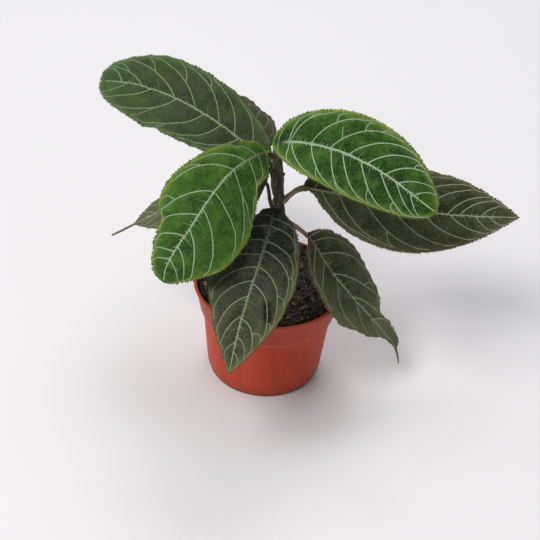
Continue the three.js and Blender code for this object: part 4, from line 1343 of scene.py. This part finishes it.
def pot_rows(pot):
    """The pot's section as (radius, height): up the outside from the base, over the lip, down the inside."""
    rim, base, top = pot.rim_radius, pot.base_radius, pot.height
    flare, bevel, lip_height = BASE_FLARE * MM, BASE_BEVEL * MM, LIP_HEIGHT * MM
    collar = top - pot.collar_height

    def outer(z):
        if z >= collar:
            share = (z - collar) / pot.collar_height
            return pot.collar_radius + (rim - LIP_OVERHANG * MM - pot.collar_radius) * share
        body = pot.body_low + (pot.body_high - pot.body_low) * z / collar
        return base + (body - base) * float(smoothstep(z, 0, flare))

    foot = [(base - 0.5 * bevel, 0.08 * bevel), (base - 0.15 * bevel, 0.4 * bevel)]
    body = [(outer(z), z) for z in (1.1 * bevel, 4 * MM, 6 * MM, flare, 20 * MM, 34 * MM, 48 * MM)]
    under = collar - LEDGE * MM
    ledge = [(outer(under), under), (outer(under) + 0.3 * MM, under + 0.15 * MM),
             (outer(collar) - 0.5 * MM, collar - 0.6 * MM), (outer(collar) - 0.1 * MM, collar - 0.3 * MM),
             (outer(collar) + 0.1 * MM, collar + 0.3 * MM)]
    lip = top - lip_height
    band = [(outer(z), z) for z in (collar + MM, lip - 6 * MM, lip - 0.5 * MM)]
    middle = lip + 0.5 * lip_height
    bead = [(rim - LIP_OVERHANG * MM + 0.9 * MM * math.cos(angle), middle + 1.1 * MM * math.sin(angle))
            for angle in map(math.radians, range(-80, 91, 17))]
    inner_top = rim - LIP_OVERHANG * MM - pot.wall
    inside_lip = [(inner_top + 0.3 * MM, top - 0.1 * MM), (inner_top, top - 0.7 * MM)]
    inside_wall = [(outer(z) - pot.wall, z)
                   for z in (top - 5 * MM, collar + MM, collar - 2.2 * MM, 30 * MM, flare, 2.2 * MM)]
    return foot + body + ledge + band + bead + inside_lip + inside_wall


class FOLIAGE_OT_make_pot(bpy.types.Operator):
    """Turns up the pot from its base: foot, wall, collar, lip and inner wall, with drain holes"""

    bl_idname = "foliage.make_pot"
    bl_label = "Make Pot"

    def execute(self, context):
        pot = context.scene.foliage_pot
        flat_base = pot.base_radius - BASE_BEVEL * MM
        start_piece()
        bpy.ops.mesh.primitive_circle_add(vertices=pot.sides, radius=flat_base, fill_type="NGON")
        piece = context.object
        bpy.ops.object.mode_set(mode="EDIT")
        radius = turn_up(pot_rows(pot), flat_base, 0.0)
        for share in (0.8, 0.6, 0.25):
            bpy.ops.mesh.inset(thickness=radius - share * flat_base)
            radius = share * flat_base
        close_shell()
        for hole in range(DRAIN_HOLES):
            turn = (hole + 0.5) * 2 * math.pi / DRAIN_HOLES
            ring = DRAIN_RING * MM
            start_piece()
            bpy.ops.mesh.primitive_cylinder_add(vertices=32, radius=DRAIN_RADIUS * MM, depth=DRAIN_DEPTH * MM,
                                                location=(ring * math.cos(turn), ring * math.sin(turn), 0))
            cut(piece, context.object)
        smooth_shading(piece, 35)
        dress(piece, "growing_pot", pot_material(pot), "pot_plastic", "pot")
        return {"FINISHED"}


def soil_height(x, y):
    """Height of the soil's lumps at a place, all in millimetres."""
    lumps = math.sin(0.31 * x + 1.3) * math.cos(0.27 * y - 0.4) + 0.6 * math.sin(0.63 * x - 0.55 * y)
    mound = 1.6 * math.exp(-((x - STEM_FOOT_X) ** 2 + y * y) / 260) + 0.9 * math.exp(-(x * x + y * y) / 1500)
    fine = noise.noise(Vector((0.35 * x, 0.35 * y, 3.1))) + 0.6 * noise.noise(Vector((0.9 * x, 0.9 * y, 7.7)))
    heap_x, heap_y, reach_x, reach_y, heap_height = SOIL_HEAP
    heap = heap_height * math.exp(-((x - heap_x) / reach_x) ** 2 - ((y - heap_y) / reach_y) ** 2)
    return SOIL_LEVEL + 0.75 * lumps + mound + heap + 0.8 * fine


def soil_places(draw, count, edge, clear):
    """Random places on the soil, clear of the stem, as (x, y) in millimetres."""
    places = []
    while len(places) < count:
        radius = edge * math.sqrt(draw.random())
        turn = draw.uniform(0, 2 * math.pi)
        x, y = radius * math.cos(turn), radius * math.sin(turn)
        if math.hypot(x - STEM_FOOT_X, y) > clear:
            places.append((x, y))
    return places


def lying(draw, x, y, lift, scale, tilt):
    """Matrix of a bit that lies on the soil, turned at random."""
    turned = Euler((draw.uniform(-tilt, tilt), draw.uniform(-tilt, tilt), draw.uniform(0, 6.3))).to_matrix()
    return stood(Vector((x, y, soil_height(x, y) + lift)) * MM, turned, scale)


# Bits strewn over the soil. edge and clear are how far they keep within the pot and from the stem, in
# millimetres. size is the least size, what chance adds to it, and the power that keeps most bits small.
# stretch holds the range of each side's share of the size, lift how high the middle lies, as a length and
# a share of the size, tilt is in radians, and tint is the power that keeps most bits dark.
Bits = namedtuple("Bits", "seed edge clear size stretch lift tilt tint")
CRUMBS = Bits(21, 53.2, 4.6, (0.4, 1.0, 3), ((0.7, 1.3),) * 3, (0, 0.15), 3, 2)
BARK = Bits(35, 50, 6, (0.8, 1.7, 2), ((1, 1.9), None, (0.3, 0.6)), (0, 0.22), 0.5, 1)
GRAINS = Bits(48, 52, 5, (0.3, 0.45, 2), ((0.8, 1.3),) * 3, (1, 0), 3, 1)


def rough_bit(roughness, seed, cuts=0):
    """Makes the primitive that was just added lumpy, and gives it."""
    bpy.ops.object.mode_set(mode="EDIT")
    if cuts:
        bpy.ops.mesh.subdivide(number_cuts=cuts)
    bpy.ops.transform.vertex_random(offset=roughness, seed=seed)
    bpy.ops.object.mode_set(mode="OBJECT")
    return bpy.context.object


def strew(name, template, bits, count, material):
    """Strews copies of a template over the soil."""
    draw = random.Random(bits.seed)
    least, chance, power = bits.size
    matrices, tints = [], []
    for x, y in soil_places(draw, count, bits.edge, bits.clear):
        size = least + chance * draw.random() ** power
        scale = [size * (draw.uniform(*share) if share else 1) * MM for share in bits.stretch]
        matrices.append(lying(draw, x, y, bits.lift[0] + bits.lift[1] * size, scale, bits.tilt))
        tints.append(draw.random() ** bits.tint)
    dress(copies(name, template, matrices, tints), name, material, "soil")


class FOLIAGE_OT_make_soil(bpy.types.Operator):
    """Fills the pot with soil and strews crumbs, bark bits, pale grains and fibres over it"""

    bl_idname = "foliage.make_soil"
    bl_label = "Make Soil"

    def execute(self, context):
        settings = context.scene.foliage_soil
        damp = soil_material("soil_damp", settings.dark, settings.light, 0.8)
        self.make_body(settings, damp)
        start_piece()
        bpy.ops.mesh.primitive_ico_sphere_add(subdivisions=1, radius=1)
        strew("soil_crumbs", rough_bit(0.35, 4), CRUMBS, settings.crumbs, damp)
        start_piece()
        bpy.ops.mesh.primitive_cube_add(size=1)
        bark = soil_material("bark", (0.02, 0.01, 0.006), (0.24, 0.11, 0.05), 0.75)
        strew("bark_bits", rough_bit(0.14, 9, cuts=1), BARK, settings.bark_bits, bark)
        start_piece()
        bpy.ops.mesh.primitive_ico_sphere_add(subdivisions=1, radius=1)
        grain = soil_material("grain", (0.3, 0.22, 0.14), (0.62, 0.55, 0.43), 0.7)
        strew("pale_grains", rough_bit(0.25, 2), GRAINS, settings.grains, grain)
        self.make_fibres(settings)
        return {"FINISHED"}

    def make_body(self, settings, material):
        """Soil body: turned up from its floor like the pot, its top inset ring by ring and roughened."""
        edge = SOIL_HIGH.x
        start_piece()
        bpy.ops.mesh.primitive_circle_add(vertices=160, radius=SOIL_FLOOR_RADIUS * MM, fill_type="NGON",
                                          location=(0, 0, SOIL_LOW.z))
        piece = settle(bpy.context.object)
        bpy.ops.object.mode_set(mode="EDIT")
        rows = [(radius * MM, height * MM) for radius, height in SOIL_SIDE] + [(edge, SOIL_EDGE_HEIGHT * MM)]
        turn_up(rows, SOIL_FLOOR_RADIUS * MM, SOIL_LOW.z)
        for _ in range(settings.rings):
            bpy.ops.mesh.inset(thickness=0.985 * edge / (settings.rings + 0.5))
        bpy.ops.mesh.poke()
        close_shell()
        for vertex in piece.data.vertices:
            x, y, z = vertex.co / MM
            radius = math.hypot(x, y)
            if z > SOIL_EDGE_HEIGHT - 0.1 and radius < edge / MM - 0.2:
                drop = SOIL_EDGE_DROP * float(smoothstep(radius, edge / MM - 6, edge / MM))
                vertex.co.z = (soil_height(x, y) - drop) * MM
        start_piece()
        bpy.ops.mesh.primitive_cylinder_add(vertices=40, radius=(STEM_RADIUS + 0.5) * MM, depth=28 * MM,
                                            location=(STEM_FOOT_X * MM, 0, SOIL_LEVEL * MM))
        cut(piece, lean_back(settle(bpy.context.object)))
        write_attribute(piece.data, "tint", np.full(len(piece.data.vertices), 0.25))
        smooth_shading(piece, 50)
        dress(piece, "soil_body", material, "soil", "soil")

    def make_fibres(self, settings):
        """Thin bowed fibres that lie loosely on the soil."""
        draw = random.Random(62)
        points, faces, tints, offset = [], [], [], 0
        for x, y in soil_places(draw, settings.fibres, 47, 7):
            turn = draw.uniform(0, 6.3)
            cos, sin = math.cos(turn), math.sin(turn)
            span = draw.uniform(3, 9)
            bow = draw.uniform(-0.35, 0.35) * span
            t = np.linspace(-0.5, 0.5, 7)
            arc = bow * (0.25 - t * t)
            run_x = x + span * t * cos - arc * sin
            run_y = y + span * t * sin + arc * cos
            ground = np.array([soil_height(a, b) for a, b in zip(run_x, run_y)])
            run_z = ground + 0.5 + draw.uniform(0.3, 1.2) * np.cos(np.pi * t)
            path = np.stack([run_x, run_y, run_z], -1)
            angles = 2 * np.pi * np.arange(4) / 4
            ring = 0.16 * np.stack([-sin * np.cos(angles), cos * np.cos(angles), np.sin(angles)], -1)
            points.append(tube_points(path[:, None, :] + ring[None, :, :]))
            faces += tube_faces(len(path), len(ring), offset)
            tints.append(np.full(len(points[-1]), draw.random()))
            offset += len(points[-1])
        fibres = mesh_piece("fibres", np.vstack(points) * MM, faces)
        write_attribute(fibres.data, "tint", np.concatenate(tints))
        smooth_shading(fibres)
        material = soil_material("fibre", (0.06, 0.03, 0.016), (0.26, 0.15, 0.08), 0.8)
        dress(fibres, "soil_fibres", material, "soil")


class FOLIAGE_OT_make_stem(bpy.types.Operator):
    """Grows the ridged stem with its swollen nodes, the bud scales at its top, leaf stubs and hairs"""

    bl_idname = "foliage.make_stem"
    bl_label = "Make Stem"

    def execute(self, context):
        settings = context.scene.foliage_stem
        self.make_bark(settings)
        self.make_bud(settings)
        self.make_stubs(settings)
        self.make_hairs(settings)
        return {"FINISHED"}

    def make_bark(self, settings):
        """The stem itself: a tube with ridges along it and a rough bark."""
        z = STEM_FOOT + (STEM_TOP - STEM_FOOT) * np.linspace(0, 1, settings.rings) ** 0.9
        strands = []
        for side in range(settings.sides):
            turn = 2 * math.pi * side / settings.sides
            cos, sin = math.cos(turn), math.sin(turn)
            ridges = 1 - 0.09 * (0.5 - 0.5 * np.cos(5 * turn + 0.03 * z)) ** 2
            grooves = np.array([noise.noise(Vector((2.6 * cos, 2.6 * sin, 0.045 * h)))
                                + 0.5 * noise.noise(Vector((7 * cos, 7 * sin, 0.12 * h))) for h in z])
            radius = stem_radius(z) * ridges * (1 + 0.07 * grooves)
            strands.append(np.stack([stem_axis(z) + radius * cos, radius * sin, z], -1))
        stem = tube("stem_bark", strands)
        smooth_shading(stem)
        dress(lean_back(stem), "stem_bark", stem_material(settings), "stem", "stem")

    def make_bud(self, settings):
        """Three folded young scales that stand close round the stem's tip."""
        scales = []
        for turn, tilt, size in BUD_SCALES:
            start_piece()
            bpy.ops.mesh.primitive_uv_sphere_add(segments=20, ring_count=14, radius=1)
            scale = bpy.context.object
            points = points_of(scale.data)
            up = 0.5 * (points[:, 2] + 1)
            slim = np.sqrt(np.clip(1 - up, 0, 1)) * 0.9 + 0.12
            points[:, 0] *= 1.25 * slim
            points[:, 1] *= 0.62 * slim
            points[:, 2] = BUD_SCALE_LENGTH * up
            points[:, 1] += 0.5 - 0.35 * points[:, 0] ** 2
            turned = Matrix.Rotation(turn, 3, "Z") @ Matrix.Rotation(-tilt, 3, "X")
            foot = np.array([stem_axis(BUD_SCALE_AXIS), 0, BUD_SCALE_FOOT])
            move_points(scale.data, (size * points @ np.array(turned).T + foot) * MM)
            scales.append(scale)
        bud = join(scales)
        smooth_shading(bud)
        dress(lean_back(bud), "bud_scales", bud_material(settings), "stem")

    def make_stubs(self, settings):
        """Stubs of shed leaves: short tapering stalks that stand close against the stem."""
        parts = []
        for height, turn, length, wide, lean in STUBS:
            start_piece()
            bpy.ops.mesh.primitive_cone_add(vertices=14, radius1=wide * MM, radius2=0.5 * wide * MM,
                                            depth=length * MM)
            stub = bpy.context.object
            bpy.ops.object.mode_set(mode="EDIT")
            bpy.ops.mesh.subdivide(number_cuts=2, smoothness=0.4)
            bpy.ops.object.mode_set(mode="OBJECT")
            away = math.radians(turn)
            out = Vector((math.cos(away), math.sin(away), 0))
            rise = (Vector((0, 0, 1)) + lean * out).normalized()
            reach = float(stem_radius(height)) - 0.4 * wide
            foot = Vector((float(stem_axis(height)), 0, height)) + reach * out
            middle = (foot + 0.5 * length * rise) * MM
            stub.data.transform(Matrix.Translation(middle) @ aimed(rise).to_4x4())
            parts.append(stub)
        stubs = join(parts)
        smooth_shading(stubs, 50)
        dress(lean_back(stubs), "leaf_stubs", stub_material(settings), "stem")

    def make_hairs(self, settings):
        """Short hairs round the stem, more of them towards its top."""
        hair = thorn(3)
        draw = random.Random(77)
        matrices, tints = [], []
        for _ in range(settings.hairs):
            z = min(90 + 110 * draw.random() ** 0.7, STEM_TOP - 1)
            turn = draw.uniform(0, 2 * math.pi)
            radius = float(stem_radius(z)) * 0.94
            aim = Vector((math.cos(turn), math.sin(turn), draw.uniform(0.1, 0.9))).normalized()
            root = Vector((float(stem_axis(z)) + radius * math.cos(turn), radius * math.sin(turn), z))
            size = (HAIR_RADIUS * MM, HAIR_RADIUS * MM, settings.hair_length * draw.uniform(0.6, 1.5))
            matrices.append(stood(root * MM, aimed(aim), size))
            tints.append(draw.random())
        hairs = copies("stem_hairs", hair, matrices, tints)
        dress(lean_back(hairs), "stem_hairs", hair_material(), "stem")


class FOLIAGE_OT_make_leaves(bpy.types.Operator):
    """Lays out the eight leaves with their veins, toothed margins and petioles"""

    bl_idname = "foliage.make_leaves"
    bl_label = "Make Leaves"

    def execute(self, context):
        settings = context.scene.foliage_leaves
        colours = context.scene.foliage_colours
        finishes = sorted({leaf["finish"] for leaf in LEAVES.values()})
        materials = {name: leaf_material(name, colours) for name in finishes}
        for seed, (name, leaf) in enumerate(LEAVES.items()):
            make_leaf(name, leaf, settings, materials[leaf["finish"]], 100 + seed)
        return {"FINISHED"}


# Lights, in metres and watts: name, place, size, power and colour. All aim at one height over the pot's
# middle.
LIGHTS = (("key", (-0.75, -0.9, 1.8), 0.9, 26, (1, 0.985, 0.965)),
          ("left", (-1.4, -0.5, 0.5), 0.8, 3, (1, 1, 1)),
          ("back", (0.1, 1.1, 1.7), 1.2, 16, (1, 1, 1)))
LIGHT_AIM = 0.12
SKY_COLOUR = (0.95, 0.95, 0.97, 1)
SKY_STRENGTH = 0.42


class FOLIAGE_OT_make_stage(bpy.types.Operator):
    """Sets the pale floor, the soft lights and the camera"""

    bl_idname = "foliage.make_stage"
    bl_label = "Make Stage"

    def execute(self, context):
        stage = context.scene.foliage_stage
        start_piece()
        bpy.ops.mesh.primitive_plane_add(size=stage.floor_size)
        floor = context.object
        floor.name = "floor"
        floor.data.materials.append(floor_material(stage))
        self.make_lights(context)
        self.make_camera(context, stage)
        context.scene.view_settings.view_transform = "Standard"
        return {"FINISHED"}

    def make_lights(self, context):
        """A dim even sky, a soft key from the front left, and weaker lights from the left and the back."""
        world = bpy.data.worlds.new("studio")
        world.use_nodes = True
        background = world.node_tree.nodes["Background"]
        background.inputs["Color"].default_value = SKY_COLOUR
        background.inputs["Strength"].default_value = SKY_STRENGTH
        context.scene.world = world
        for name, place, size, power, colour in LIGHTS:
            data = bpy.data.lights.new(name, "AREA")
            data.shape = "DISK"
            data.size = size
            data.energy = power
            data.color = colour
            light = bpy.data.objects.new(name, data)
            light.location = place
            aim = Vector((0, 0, LIGHT_AIM)) - Vector(place)
            light.rotation_euler = aim.to_track_quat("-Z", "Y").to_euler()
            context.scene.collection.objects.link(light)

    def make_camera(self, context, stage):
        """The camera: above the front, looking down at the plant, rolled a little."""
        rise, roll = stage.camera_height, stage.camera_roll
        back = Vector((0, -math.cos(rise), math.sin(rise)))
        level = Vector((1, 0, 0))
        upright = Vector((0, math.sin(rise), math.cos(rise)))
        right = level * math.cos(roll) + upright * math.sin(roll)
        up = upright * math.cos(roll) - level * math.sin(roll)
        data = bpy.data.cameras.new("camera")
        data.lens = stage.lens
        data.sensor_width = 36
        camera = bpy.data.objects.new("camera", data)
        place = Vector((0, MM, stage.camera_aim)) + back * stage.camera_distance
        turned = Matrix((right, up, back)).transposed().to_4x4()
        camera.matrix_world = Matrix.Translation(place) @ turned
        context.scene.collection.objects.link(camera)
        context.scene.camera = camera


class FOLIAGE_PT_panel(bpy.types.Panel):
    """The plant's settings and the buttons that build it"""

    bl_idname = "FOLIAGE_PT_panel"
    bl_label = "Foliage Plant"
    bl_space_type = "VIEW_3D"
    bl_region_type = "UI"
    bl_category = "Foliage"

    def draw(self, context):
        for button, group in BUTTONS:
            box = self.layout.box()
            box.operator(button)
            settings = getattr(context.scene, group)
            for name in settings.__annotations__:
                box.prop(settings, name)
        for name in LeafColours.__annotations__:
            self.layout.prop(context.scene.foliage_colours, name)


BUTTONS = (
    ("foliage.make_stage", "foliage_stage"),
    ("foliage.make_pot", "foliage_pot"),
    ("foliage.make_soil", "foliage_soil"),
    ("foliage.make_stem", "foliage_stem"),
    ("foliage.make_leaves", "foliage_leaves"),
)
GROUPS = {
    "foliage_pot": PotSettings,
    "foliage_soil": SoilSettings,
    "foliage_stem": StemSettings,
    "foliage_leaves": LeafSettings,
    "foliage_colours": LeafColours,
    "foliage_stage": StageSettings,
}
CLASSES = (*GROUPS.values(), FOLIAGE_OT_make_stage, FOLIAGE_OT_make_pot, FOLIAGE_OT_make_soil,
           FOLIAGE_OT_make_stem, FOLIAGE_OT_make_leaves, FOLIAGE_PT_panel)


def register():
    """Registers the classes and gives the scene its settings."""
    for item in CLASSES:
        bpy.utils.register_class(item)
    for name, group in GROUPS.items():
        setattr(bpy.types.Scene, name, PointerProperty(type=group))


def unregister():
    """Takes back what register() did."""
    for name in GROUPS:
        delattr(bpy.types.Scene, name)
    for item in reversed(CLASSES):
        bpy.utils.unregister_class(item)


def main():
    """Builds everything."""
    register()
    bpy.ops.foliage.make_stage()
    bpy.ops.foliage.make_pot()
    bpy.ops.foliage.make_soil()
    bpy.ops.foliage.make_stem()
    bpy.ops.foliage.make_leaves()


if __name__ == "__main__":
    main()
